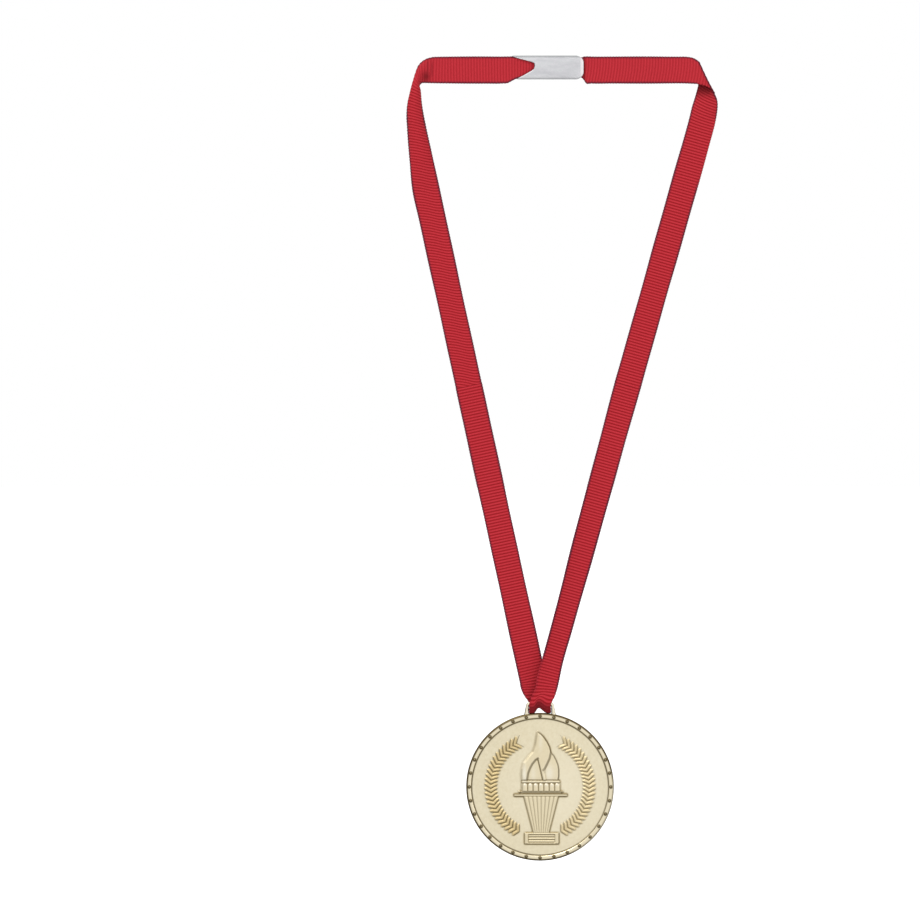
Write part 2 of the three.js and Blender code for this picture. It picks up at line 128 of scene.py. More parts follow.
# The bail's centre line as X and Z, with half its width there.
BAIL_LINE = [
    (-6.5, 32.6, 1.15), (-6.4, 34.4, 1.05), (-6.22, 36.2, 0.88), (-6.04, 37.8, 0.72),
    (-5.78, 38.85, 0.7), (-5.0, 39.34, 0.86), (-3.8, 39.4, 1.0), (0, 39.4, 1.0),
    (3.8, 39.4, 1.0), (5.0, 39.34, 0.86), (5.78, 38.85, 0.7), (6.04, 37.8, 0.72),
    (6.22, 36.2, 0.88), (6.4, 34.4, 1.05), (6.5, 32.6, 1.15),
]
BAIL_HALF_DEPTH = 1.0
# The section is a rounded box: 1 would be an ellipse, and 0 a sharp box.
BAIL_ROUNDNESS = 0.55
BAIL_ROWS, BAIL_LOOP = 121, 28
MID_Y = -1.5

# ---- ribbon ----

RIBBON_WIDTH = 12.7
RIB_PITCH = 1.38
STATIONS_PER_RIB = 8
ACROSS_POINTS = 23
HALF_THICKNESS = 0.27
RIB_HEIGHT = 0.14
SELVAGE_BUMP = 0.13
# The mean of the painted rib shading, about which each look raises or lowers its contrast.
RIB_MEAN = 0.75

BAR_Z = 39.4
STRAP_START = (-1.0, 40.0)
RIGHT_SLOPE = 0.283
LEFT_SLOPE = -0.218
STRAP_TOP_Z = 331.0
LEG_OFFSET = 2.0
LEAN_LENGTH = 273.0
SEAM_Z = 190.0
BAND_Z = 339.7
SLEEVE_Z = 340.9
TUCKED_HALF = 4.7

# How far the right strap's left edge is drawn in, as Z and distance.
DRAWN_IN = [(50, 2.5), (70, 2.45), (90, 2.1), (115, 1.35), (138, 0.95), (165, 0.35), (185, 0)]

# The ribbon's two edges where it lies in the bail, and how far its bend reaches below BAR_Z.
IN_BAIL_LEFT, IN_BAIL_RIGHT = -5.2, 5.15
BEND_REACH = 1.75

# About the length of the loop piece. Places near its bend are given as a distance from its middle.
LOOP_LENGTH = 310.0
# The dark crease of the folded right corner, as X and Z.
RIGHT_CREASE = [(72.5, 345.8), (75.4, 343.9), (79.4, 335.2), (82.6, 329.4), (84.2, 325.8)]

# Pairs of heights, in Z, given about strap_fold and about bight_sway.
FOLD_BLEND = (334.5, 317.0)
SWAY_BLEND = (72.0, 46.0)

# ---- sleeve ----

SLEEVE_RIGHT = 20.6
SLEEVE_HALF_HEIGHT = 5.6
SLEEVE_HALF_DEPTH = 1.4
SLEEVE_WALL = 0.45
SLEEVE_CORNER = 3.3
SLEEVE_LIP = 0.22
SLEEVE_PILLOW = 0.05
SLEEVE_AROUND, SLEEVE_ROWS = 120, 60
# The section's roundness upwards and in depth, as for the bail.
SLEEVE_ROUND_Z, SLEEVE_ROUND_Y = 0.75, 0.42
# The cut left end: X of its lowest and highest point behind. Its front as height over SLEEVE_Z, X.
SLEEVE_BACK_LEFT = (-10.9, -13.4)
SLEEVE_MOUTH = [
    (-5.5, -10.6), (-5.0, -9.8), (-3.6, -7.2), (-1.6, -3.9), (-0.8, -2.9), (0.6, -2.5), (2.0, -2.6),
    (2.8, -4.2), (4.3, -9.5), (5.5, -13.3),
]


# ---- numbers and meshes ----


def smooth(x, lo, hi):
    """0 before lo, 1 after hi, and a soft step between."""
    t = np.clip((x - lo) / (hi - lo), 0.0, 1.0)
    return t * t * (3.0 - 2.0 * t)


def through(knots, values, at):
    """A smooth curve through values at knots, with each slope taken from the neighbours."""
    knots, values = np.asarray(knots, float), np.asarray(values, float)
    slopes = np.gradient(values, knots, axis=0)
    i = np.clip(np.searchsorted(knots, at, side="right") - 1, 0, len(knots) - 2)
    h = knots[i + 1] - knots[i]
    t = (at - knots[i]) / h
    if values.ndim > 1:
        h, t = h[:, None], t[:, None]
    a, b = values[i], values[i + 1]
    return (
        a * (2 * t**3 - 3 * t**2 + 1)
        + slopes[i] * h * (t**3 - 2 * t**2 + t)
        + b * (3 * t**2 - 2 * t**3)
        + slopes[i + 1] * h * (t**3 - t**2)
    )


def unit(v):
    return v / np.maximum(np.linalg.norm(v, axis=-1, keepdims=True), 1e-9)


def signed_volume(points, faces):
    total = 0.0
    for f in faces:
        p = points[f]
        for k in range(1, f.shape[1] - 1):
            total += np.einsum("ij,ij->", p[:, 0], np.cross(p[:, k], p[:, k + 1]))
    return total / 6.0


def turned_out(points, faces):
    """The same faces, turned so that a closed shell's normals point outward."""
    return [f[:, ::-1] for f in faces] if signed_volume(points, faces) < 0 else faces


def joined(shells):
    """Several shells, each (points, faces, values), as one."""
    points, faces, values, start = [], [], {}, 0
    for p, f, v in shells:
        points.append(p)
        faces += [x + start for x in turned_out(p, f)]
        for key, column in v.items():
            values.setdefault(key, []).append(column)
        start += len(p)
    return np.concatenate(points), faces, {k: np.concatenate(c) for k, c in values.items()}


def piece(name, shell, material):
    """A smooth-shaded mesh object from one shell, in metres."""
    points, faces, values = shell
    mesh = bpy.data.meshes.new(name)
    polygons = [face for f in faces for face in f.tolist()]
    mesh.from_pydata((points * MM).tolist(), [], polygons)
    mesh.polygons.foreach_set("use_smooth", np.ones(len(mesh.polygons), bool))
    for key, column in values.items():
        attribute = mesh.attributes.new(key, "FLOAT", "POINT")
        attribute.data.foreach_set("value", column.astype(np.float32))
    mesh.materials.append(material)
    obj = bpy.data.objects.new(name, mesh)
    bpy.context.scene.collection.objects.link(obj)
    return obj


def tube_faces(rows, loop):
    """Quads for a tube of rows closed loops, and a fan at each end to the hubs that with_hubs adds."""
    i, j = np.meshgrid(np.arange(rows - 1), np.arange(loop), indexing="ij")
    k = (j + 1) % loop
    quads = np.stack([i * loop + j, (i + 1) * loop + j, (i + 1) * loop + k, i * loop + k], -1)
    j = np.arange(loop)
    k = (j + 1) % loop
    last = (rows - 1) * loop
    first_hub, last_hub = rows * loop, rows * loop + 1
    first_fan = np.stack([j, k, np.full(loop, first_hub)], -1)
    last_fan = np.stack([last + k, last + j, np.full(loop, last_hub)], -1)
    return [quads.reshape(-1, 4), first_fan, last_fan]


def with_hubs(points, rows, loop):
    """The points, then the mean of the first loop and of the last."""
    grid = points.reshape(rows, loop, -1)
    return np.concatenate([points, grid[0].mean(0)[None], grid[-1].mean(0)[None]])


# ---- the raised picture on the medal ----


def to_line(x, z, a, b):
    """Distance to the straight line between two points."""
    ex, ez = b[0] - a[0], b[1] - a[1]
    t = np.clip(((x - a[0]) * ex + (z - a[1]) * ez) / (ex * ex + ez * ez), 0, 1)
    return np.hypot(x - a[0] - t * ex, z - a[1] - t * ez)


def to_path(x, z, points):
    """Distance to the path through the points."""
    return np.minimum.reduce([to_line(x, z, a, b) for a, b in zip(points, points[1:])])


def inside(x, z, outline):
    """Distance to a closed outline, positive inside it."""
    closed = outline + outline[:1]
    within = np.zeros(x.shape, bool)
    for (ax, az), (bx, bz) in zip(closed, closed[1:]):
        if az != bz:
            crosses = (az > z) != (bz > z)
            within ^= crosses & (x < ax + (bx - ax) * (z - az) / (bz - az))
    return to_path(x, z, closed) * np.where(within, 1, -1)


def in_box(x, z, box):
    """Distance to a box's outline, positive inside it."""
    x0, x1, z0, z1 = box
    dx = np.minimum(x - x0, x1 - x)
    dz = np.minimum(z - z0, z1 - z)
    outside = np.hypot(np.minimum(dx, 0), np.minimum(dz, 0))
    return np.where((dx > 0) & (dz > 0), np.minimum(dx, dz), -outside)


def step(distance, height, wall=0.36):
    """A flat top with a sloping wall as wide as given, centred on the outline."""
    return height * smooth(distance, -wall / 2, wall / 2)


def in_leaf(x, z):
    """Places on the branches: reach from the stem, way across a leaf from -1 to 1, and an end mask."""
    radius = np.hypot(x, z)
    from_top = np.degrees(np.arctan2(np.abs(x), z))
    reach = np.abs(radius - LAUREL_RADIUS)
    lean = np.radians(np.interp(from_top, [24, 60, 150], [48, 59, 62]))
    root = from_top + np.degrees(reach / np.tan(lean) / LAUREL_RADIUS)
    count = (root - LAUREL_TOP) / (LAUREL_BOTTOM - LAUREL_TOP) * (LAUREL_PAIRS - 1)
    across = 2 * (count - np.clip(np.round(count), 0, LAUREL_PAIRS - 1))
    tip = 1 - smooth(reach, LEAF_REACH - 0.3, LEAF_REACH + 0.05)
    return reach, across, tip


def laurels(x, z):
    """Two branches of paired leaves. Each pair is a V on the stem, its point towards the foot."""
    reach, across, tip = in_leaf(x, z)
    # The leaf rises slowly from its upper side and drops steeply at its lower side.
    point = smooth(reach / LEAF_REACH, 0.5, 1.0)
    rise = smooth(across, -1.0 + 1.15 * point, 0.15 + 0.45 * point)
    drop = 1 - smooth(across, 0.52, 0.98)
    crown = 1 - 0.25 * np.clip(reach / LEAF_REACH, 0, 1) ** 2
    return LEAF_HEIGHT * rise**0.7 * drop * tip * crown


def leaf_gap_shade(x, z):
    """Painted shade in the gaps between leaves, darker on the left branch."""
    _, across, tip = in_leaf(x, z)
    gap = smooth(np.abs(across), 0.55, 0.9) * (np.abs(across) < 1.25)
    return gap * tip * np.where(x < 0, 0.52, 0.28)


def flame(x, z):
    """A tall tongue over two low ones. The step between them is a broad slope."""
    low = np.maximum(inside(x, z, FLAME_INNER), inside(x, z, FLAME_RIGHT))
    level = FLAME_HIGH - step(low, FLAME_HIGH - FLAME_LOW, 1.0)
    stem_x = np.interp(z, [3.0, 7.6], [2.05, 1.35])
    stem = 1 - smooth(np.abs(x - stem_x), 0.25, 0.62)
    level = np.maximum(level, FLAME_LOW + 0.2 * stem * (z < 7.9))
    line_x = np.interp(z, [3.0, 8.7, 12.6], [1.1, -0.15, -1.05])
    line = (1 - smooth(np.abs(x - line_x), 0.1, 0.34)) * (z < 12.8)
    outline = inside(x, z, FLAME_OUTLINE)
    dome = 0.05 * smooth(outline, 0.2, 2.5)
    wall = np.interp(x - 0.12 * (z - 14), [-6.5, -1.5, 1.0], [1.9, 1.3, 0.5])
    return step(outline, 1.0, wall) * (level + dome - 0.16 * line)


def shaft_half(z):
    """Half the shaft's width, which tapers towards the foot."""
    return np.interp(z, [SHAFT_BOTTOM_Z, SHAFT_TOP_Z], [SHAFT_BOTTOM_HALF, SHAFT_TOP_HALF])


def torch_head(tx, z):
    """A lip, a row of round-topped flutes, a ledge and a plate."""
    lip = step(in_box(tx, z, LIP), 0.62)
    bowl = step(in_box(tx, z, BOWL), 0.3)
    flute = tx / FLUTE_PITCH - np.round(tx / FLUTE_PITCH)
    arch_top = FLUTE_TOP - 1.3 * np.abs(flute * 2) ** 2.6
    arch = np.sqrt(np.clip(1 - (flute * 2.12) ** 2, 0, 1)) * smooth(arch_top - z, -0.05, 0.3)
    flutes = 0.36 * arch * step(in_box(tx, z, FLUTED), 1.0, 0.3)
    ledge = step(in_box(tx, z, LEDGE), 0.58, 0.3)
    plate = step(in_box(tx, z, PLATE), 0.66, 0.3)
    neck = step(in_box(tx, z, NECK), 0.3)
    return np.maximum.reduce([lip, bowl + flutes, ledge, plate, neck])


def torch_shaft(tx, z):
    """A tapered shaft of eight rounded ridges."""
    half = shaft_half(z)
    within = np.minimum(half - np.abs(tx), np.minimum(SHAFT_TOP_Z + 0.1 - z, z - SHAFT_BOTTOM_Z + 0.1))
    ridge = np.abs(np.sin(np.pi * (tx / half + 1) * SHAFT_RIDGES / 2)) ** 0.8
    return step(within, 0.42, 0.42) + step(within - 0.35, 0.16 * ridge, 0.3)


def torch_foot(x, z):
    """A block with a sunk panel that holds three level bars."""
    recess = step(in_box(x, z, FOOT_RECESS), 0.34, 0.3)
    bars = 0
    for middle in FOOT_BARS_Z:
        box = (*FOOT_BAR_X, middle - FOOT_BAR_HALF, middle + FOOT_BAR_HALF)
        bars = bars + step(in_box(x, z, box), 0.22, 0.34)
    return step(in_box(x, z, FOOT), 0.6) - recess + bars * (recess > 0.1)


def relief(x, z):
    tx = x - TORCH_X
    torch = [torch_head(tx, z), torch_shaft(tx, z), torch_foot(x, z)]
    return np.maximum.reduce([laurels(x, z), flame(x, z), *torch])


# Lines of painted shade on the picture's walls and steps: width, strength, then the points they run through.
TONE_LINES = [
    (0.58, 0.74, [(-1.1, 26.1), (0.3, 25.1), (1.55, 23.8), (3.25, 21.4), (4.55, 18.8), (5.1, 16.4)]),
    (0.58, 0.74, [(5.4, 15.85), (6.45, 14.8), (7.55, 12.7), (8.4, 10.6), (8.85, 8.0), (8.85, 5.1),
                  (8.45, 3.2)]),
    (1.05, 0.5, [(5.1, 16.2), (4.5, 13.4), (3.35, 10.9), (2.2, 8.7), (1.5, 8.0)]),
    (1.05, 0.5, [(-0.95, 13.5), (-2.2, 12.7), (-3.6, 11.0), (-4.75, 8.9), (-5.7, 6.4), (-6.15, 3.2)]),
    (0.45, 0.6, [(-0.95, 13.2), (-0.85, 12.2), (0.15, 8.7), (1.4, 3.2)]),
    (0.4, 0.16, [(-1.4, 25.4), (-1.85, 22.6), (-2.3, 19.8), (-3.4, 16.7), (-5.3, 14.6), (-6.6, 12.8)]),
    (0.4, 0.25, [(-8.6, 8.4), (-8.8, 6.1), (-8.55, 3.2)]),
    (0.55, 0.8, [(-8.7, 3.15), (9.3, 3.15)]),
    (0.4, 0.6, [(-8.9, 1.88), (9.5, 1.88)]),
    (0.5, 0.75, [(-9.6, -2.15), (10.6, -2.15)]),
    (0.35, 0.5, [(-9.8, -2.9), (10.4, -2.9)]),
    (0.5, 0.8, [(-12.3, -3.42), (12.9, -3.42)]),
    (0.4, 0.55, [(-12.2, -4.5), (-7.8, -4.5)]),
    (0.4, 0.55, [(8.6, -4.5), (12.8, -4.5)]),
    (0.36, 0.2, [(-7.85, -4.6), (-3.1, -21.4)]),
    (0.36, 0.28, [(8.65, -4.6), (4.35, -21.4)]),
    (0.38, 0.45, [(-7.3, -21.8), (-3.1, -21.8)]),
    (0.38, 0.45, [(4.3, -21.8), (8.9, -21.8)]),
    (0.36, 0.45, [(8.9, -21.8), (8.9, -27.0)]),
    (0.4, 0.55, [(-7.5, -27.05), (8.9, -27.05)]),
    (0.35, 0.25, [(-7.35, -22.0), (-7.35, -26.9)]),
    (0.38, 0.6, [(-5.0, -22.65), (7.0, -22.65)]),
    (0.34, 0.6, [(-5.6, -23.75), (6.6, -23.75)]),
    (0.38, 0.65, [(-5.4, -25.0), (6.8, -25.0)]),
    (0.38, 0.6, [(-5.4, -26.3), (6.6, -26.3)]),
]


def tone(x, z):
    """How much painted shade the lines and grooves of the picture carry at each point."""
    dark = np.zeros(x.shape)
    for width, strength, points in TONE_LINES:
        beyond = to_path(x, z, points) - width / 2
        dark = np.maximum(dark, strength * (1 - smooth(beyond, -0.12, 0.14)))
    tx = x - TORCH_X
    half = shaft_half(z)
    groove = np.abs(((tx / half + 1) * SHAFT_RIDGES / 2 + 0.5) % 1 - 0.5)
    shaft = (np.abs(tx) < half - 0.2) & (z < SHAFT_TOP_Z) & (z > SHAFT_BOTTOM_Z)
    dark = np.maximum(dark, 0.25 * (1 - smooth(groove, 0.06, 0.26)) * shaft)
    groove = np.abs((tx / FLUTE_PITCH) % 1 - 0.5)
    fluted = in_box(tx, z, FLUTED) > 0
    return np.maximum(dark, 0.5 * (1 - smooth(groove, 0.03, 0.15)) * fluted)


# Painted highlights on the flame, as X, Z, half width, half height and strength.
PAINTED_HIGHLIGHT_SPOTS = [
    (-7.5, 6.0, 1.0, 4.5, 0.7), (4.4, 6.5, 2.0, 4.0, 0.55), (-3.2, 6.2, 1.3, 4.5, 0.35),
    (0.3, 21.5, 1.0, 4.5, 0.35),
]
FLUTE_HIGHLIGHT_SPOT = (1.2, 0.7, 0.75, 0.8)


def pale_places(x, z):
    """Painted highlights on the picture: parts of the flame and the tops of the flutes."""
    pale = 0 * x
    for cx, cz, reach_x, reach_z, strength in PAINTED_HIGHLIGHT_SPOTS:
        spot = np.exp(-(((x - cx) / reach_x) ** 2) - ((z - cz) / reach_z) ** 2)
        pale = np.maximum(pale, strength * spot)
    spot_z, reach_x, reach_z, strength = FLUTE_HIGHLIGHT_SPOT
    off = ((x - TORCH_X) / FLUTE_PITCH + 0.5) % 1 - 0.5
    spot = np.exp(-((off * FLUTE_PITCH / reach_x) ** 2) - ((z - spot_z) / reach_z) ** 2)
    return np.maximum(pale, strength * spot * (in_box(x - TORCH_X, z, FLUTED) > 0))


def blurred(grid, reach):
    """A box blur of the grid, reach cells each way, done twice."""
    size = 2 * reach + 1
    for _ in range(2):
        for axis in (0, 1):
            pad = [(reach, reach) if a == axis else (0, 0) for a in (0, 1)]
            total = np.cumsum(np.pad(grid, pad, mode="edge"), axis=axis)
            total = np.insert(total, 0, 0, axis=axis)
            top = np.take(total, range(size, total.shape[axis]), axis=axis)
            grid = (top - np.take(total, range(0, total.shape[axis] - size), axis=axis)) / size
    return grid


def far_side(x, z):
    """1 on the lower right of the medal, where the painted shade on the rim's lines is weak, and 0
    elsewhere.
    """
    way = (0.88 * x - 0.47 * z) / np.maximum(np.hypot(x, z), 1e-6)
    return smooth(way, 0.72, 0.95)


def tones(points, **given):
    """The medal material's values at each point, 0 where none are given."""
    zero = np.zeros(len(points))
    return {key: zero + given.get(key, 0) for key in ("hollow", "line", "warm", "polish", "pale")}


def field_shell():
    """The sunk field with the picture, closed below by walls and a fan that the disc hides."""
    n = int(FIELD_EDGE / GRID_STEP) + 2
    axis = np.arange(-n, n + 1) * GRID_STEP
    x, z = np.meshgrid(axis, axis, indexing="ij")
    quarter = GRID_STEP / 4
    height = sum(relief(x + a, z + b) for a in (-quarter, quarter) for b in (-quarter, quarter)) / 4
    # Painted shade for the hollows: how far each place lies below the blurred height around it.
    hollow = np.clip((blurred(height, HOLLOW_CELLS) - height) / HOLLOW_DEPTH, 0, 1)
    radius = np.hypot(x, z)
    leaves = smooth(laurels(x, z), 0.01, 0.08)
    # Painted shade in the corner at the foot of the rim, weaker on the lower right.
    rim_foot_shade = (0.85 - 0.35 * far_side(x, z)) * smooth(radius, 31.85, 32.25)
    line = np.maximum.reduce([tone(x, z), leaf_gap_shade(x, z), rim_foot_shade])
    # Painted shade: a deeper, darker gold on the leaves, most on the left branch, and on the raised picture.
    warm = np.maximum(leaves * np.where(x < 0, 1.15, 0.8), 0.35 * smooth(height, 0.05, 0.3))

    use = radius < FIELD_EDGE
    cell = use[:-1, :-1] & use[1:, :-1] & use[1:, 1:] & use[:-1, 1:]
    index = np.full(x.shape, -1)
    i, j = np.nonzero(cell)
    corners = [(i, j), (i + 1, j), (i + 1, j + 1), (i, j + 1)]
    for a, b in corners:
        index[a, b] = 0
    used = index == 0
    index[used] = np.arange(used.sum())
    quads = np.stack([index[a, b] for a, b in corners], -1)
    top = np.stack([x[used], FIELD_Y - height[used], z[used]], -1)

    edges = np.concatenate([quads[:, [k, (k + 1) % 4]] for k in range(4)])
    lookup = set(map(tuple, edges.tolist()))
    rim = np.array([e for e in edges.tolist() if (e[1], e[0]) not in lookup])
    rim_ids = np.unique(rim)
    below = dict(zip(rim_ids.tolist(), range(len(top), len(top) + len(rim_ids))))
    low = top[rim_ids].copy()
    low[:, 1] = FIELD_UNDERSIDE_Y
    hub = len(top) + len(rim_ids)
    a, b = rim[:, 0], rim[:, 1]
    la = np.array([below[k] for k in a.tolist()])
    lb = np.array([below[k] for k in b.tolist()])
    walls = np.stack([b, a, la, lb], -1)
    fan = np.stack([lb, la, np.full(len(la), hub)], -1)
    points = np.concatenate([top, low, [[0, FIELD_UNDERSIDE_Y, 0]]])

    def filled(grid, hidden):
        return np.append(grid[used], np.full(len(points) - len(top), hidden))

    # Painted highlights on the flame and the flute tops.
    pale = filled(pale_places(x, z), 0)
    values = tones(points, hollow=filled(hollow, 1), line=filled(line, 1), warm=filled(warm, 0), pale=pale)
    return points, [quads, walls, fan], values


def disc_shell():
    """The turned disc: back, edge and rim, with a floor under the field."""
    rings = DISC_PROFILE[1:-1]
    turn = np.arange(DISC_SEGMENTS) / DISC_SEGMENTS * 2 * np.pi
    r = np.array([p[0] for p in rings])[:, None]
    y = np.array([p[1] for p in rings])[:, None]
    grid = np.stack([r * np.sin(turn), y + 0 * turn, r * np.cos(turn)], -1)
    points = grid.reshape(-1, 3)
    points = np.concatenate([points, [[0, DISC_PROFILE[0][1], 0], [0, DISC_PROFILE[-1][1], 0]]])
    faces = tube_faces(len(rings), DISC_SEGMENTS)

    to_bead = (turn * BEAD_COUNT / (2 * np.pi) + 0.5) % 1 - 0.5
    gap = np.hypot(to_bead * 2 * np.pi / BEAD_COUNT * BEAD_RING_RADIUS, r - BEAD_RING_RADIUS)
    # Painted shade: rings round the beads, a line at the foot of the rim and one on the rounded edge, weaker
    # on the lower right.
    round_bead = 0.95 * (1 - smooth(gap, BEAD_RADIUS, BEAD_RADIUS + 0.3)) * (y < RIM_TOP_Y)
    foot = 0.8 * smooth(r, 31.0, 32.2) * (1 - smooth(r, 32.5, 32.75)) * (y < EDGE_FRONT_Y)
    shoulder = smooth(r, 33.95, 34.4) * (y < EDGE_FRONT_Y) + 0 * turn
    shoulder = shoulder * (1 - 0.55 * far_side(np.sin(turn), np.cos(turn)))
    line = np.maximum.reduce([round_bead, foot + 0 * turn, shoulder])
    front = (y < RIM_FRONT_Y) * smooth(r, 32.5, 32.8) + 0 * turn
    front = np.append(front.ravel(), [0, 0])
    line = np.append(line.ravel(), [0, 1])
    # The rim's front is polished and carries painted deep-gold shade and a painted highlight.
    return points, faces, tones(points, line=line, warm=0.3 * front, polish=front, pale=0.25 * front)


def bead_shells():
    """Small round beads set in the rim."""
    around, down = 16, 8
    lat = np.linspace(0, np.pi, down + 1)[1:-1][:, None]
    lon = (np.arange(around) / around * 2 * np.pi)[None]
    ball = np.stack([np.sin(lat) * np.cos(lon), -np.cos(lat) + 0 * lon, np.sin(lat) * np.sin(lon)], -1)
    ball = np.concatenate([ball.reshape(-1, 3), [[0, -1, 0], [0, 1, 0]]])
    faces = tube_faces(down - 1, around)
    shells = []
    for k in range(BEAD_COUNT):
        turn = k / BEAD_COUNT * 2 * math.pi
        centre = [BEAD_RING_RADIUS * math.sin(turn), BEAD_CENTRE_Y, BEAD_RING_RADIUS * math.cos(turn)]
        # Painted shade darkens each bead all over, a little less at its front tip.
        line = 0.8 + 0.15 * smooth(ball[:, 1], -0.97, -0.7)
        shells.append((ball * BEAD_RADIUS + centre, faces, tones(ball, line=line, warm=0.3, polish=1)))
    return shells


def bail_shell():
    """A loop of rounded bar that rises from the rim and carries the ribbon on its top."""
    line = np.array(BAIL_LINE)
    knots = np.concatenate([[0], np.cumsum(np.hypot(*np.diff(line[:, :2], axis=0).T))])
    at = np.linspace(0, knots[-1], BAIL_ROWS)
    dense = through(knots, line, at)
    tangent = unit(np.gradient(dense[:, :2], axis=0))
    normal = np.stack([-tangent[:, 1], tangent[:, 0]], -1)
    angle = np.arange(BAIL_LOOP) / BAIL_LOOP * 2 * np.pi
    a = np.sign(np.cos(angle)) * np.abs(np.cos(angle)) ** BAIL_ROUNDNESS
    b = np.sign(np.sin(angle)) * np.abs(np.sin(angle)) ** BAIL_ROUNDNESS
    half = dense[:, 2][:, None]
    x = dense[:, 0][:, None] + normal[:, 0][:, None] * a * half
    z = dense[:, 1][:, None] + normal[:, 1][:, None] * a * half
    y = MID_Y + b * BAIL_HALF_DEPTH + 0 * x
    points = with_hubs(np.stack([x, y, z], -1).reshape(-1, 3), BAIL_ROWS, BAIL_LOOP)
    # Painted shade: the left bar is dark on its outside, the right bar on its inside, the top bar below.
    inner = smooth(-a, 0.35, 0.75) * smooth(x, -5.0, -3.5)
    outer = smooth(a, 0.5, 0.85) * (0.4 + 0.6 * smooth(-x, 5.5, 6.0) * (1 - smooth(z, 36.5, 38.5)))
    edge = np.maximum(inner, outer) * (b < 0.6)
    line = np.append(0.85 * edge.ravel(), [1, 1])
    # The bars carry a painted highlight all over.
    return points, tube_faces(BAIL_ROWS, BAIL_LOOP), tones(points, line=line, polish=1, pale=0.45)


# ---- ribbon ----


def arc_section(chord, v):
    """Where points of a strip of fixed width lie when its edges are drawn in to a chord.

    Returns offsets along the chord and out from it. A chord too short for an arc gives a U instead,
    a half circle of radius r between two straight legs.
    """
    length = RIBBON_WIDTH
    bend = np.linspace(1e-4, np.pi / 2, 400)
    ratio = np.clip(chord / length, 0.05, 1.0)[:, None]
    half_angle = np.interp(-ratio, -np.sin(bend) / bend, bend)
    radius = length / (2 * half_angle)
    along = radius * np.sin(v * half_angle)
    out = radius * (np.cos(v * half_angle) - np.cos(half_angle))
    tight = ratio < 2 / np.pi
    r = ratio * length / 2
    leg = np.maximum(length - np.pi * r, 0) / 2
    run = np.abs(v) * length / 2
    turn = np.clip(run / r, 0, np.pi / 2)
    u_along = np.sign(v) * r * np.sin(turn)
    u_out = leg + r * np.cos(turn) - np.maximum(run - np.pi * r / 2, 0)
    return np.where(tight, u_along, along), np.where(tight, u_out, out)


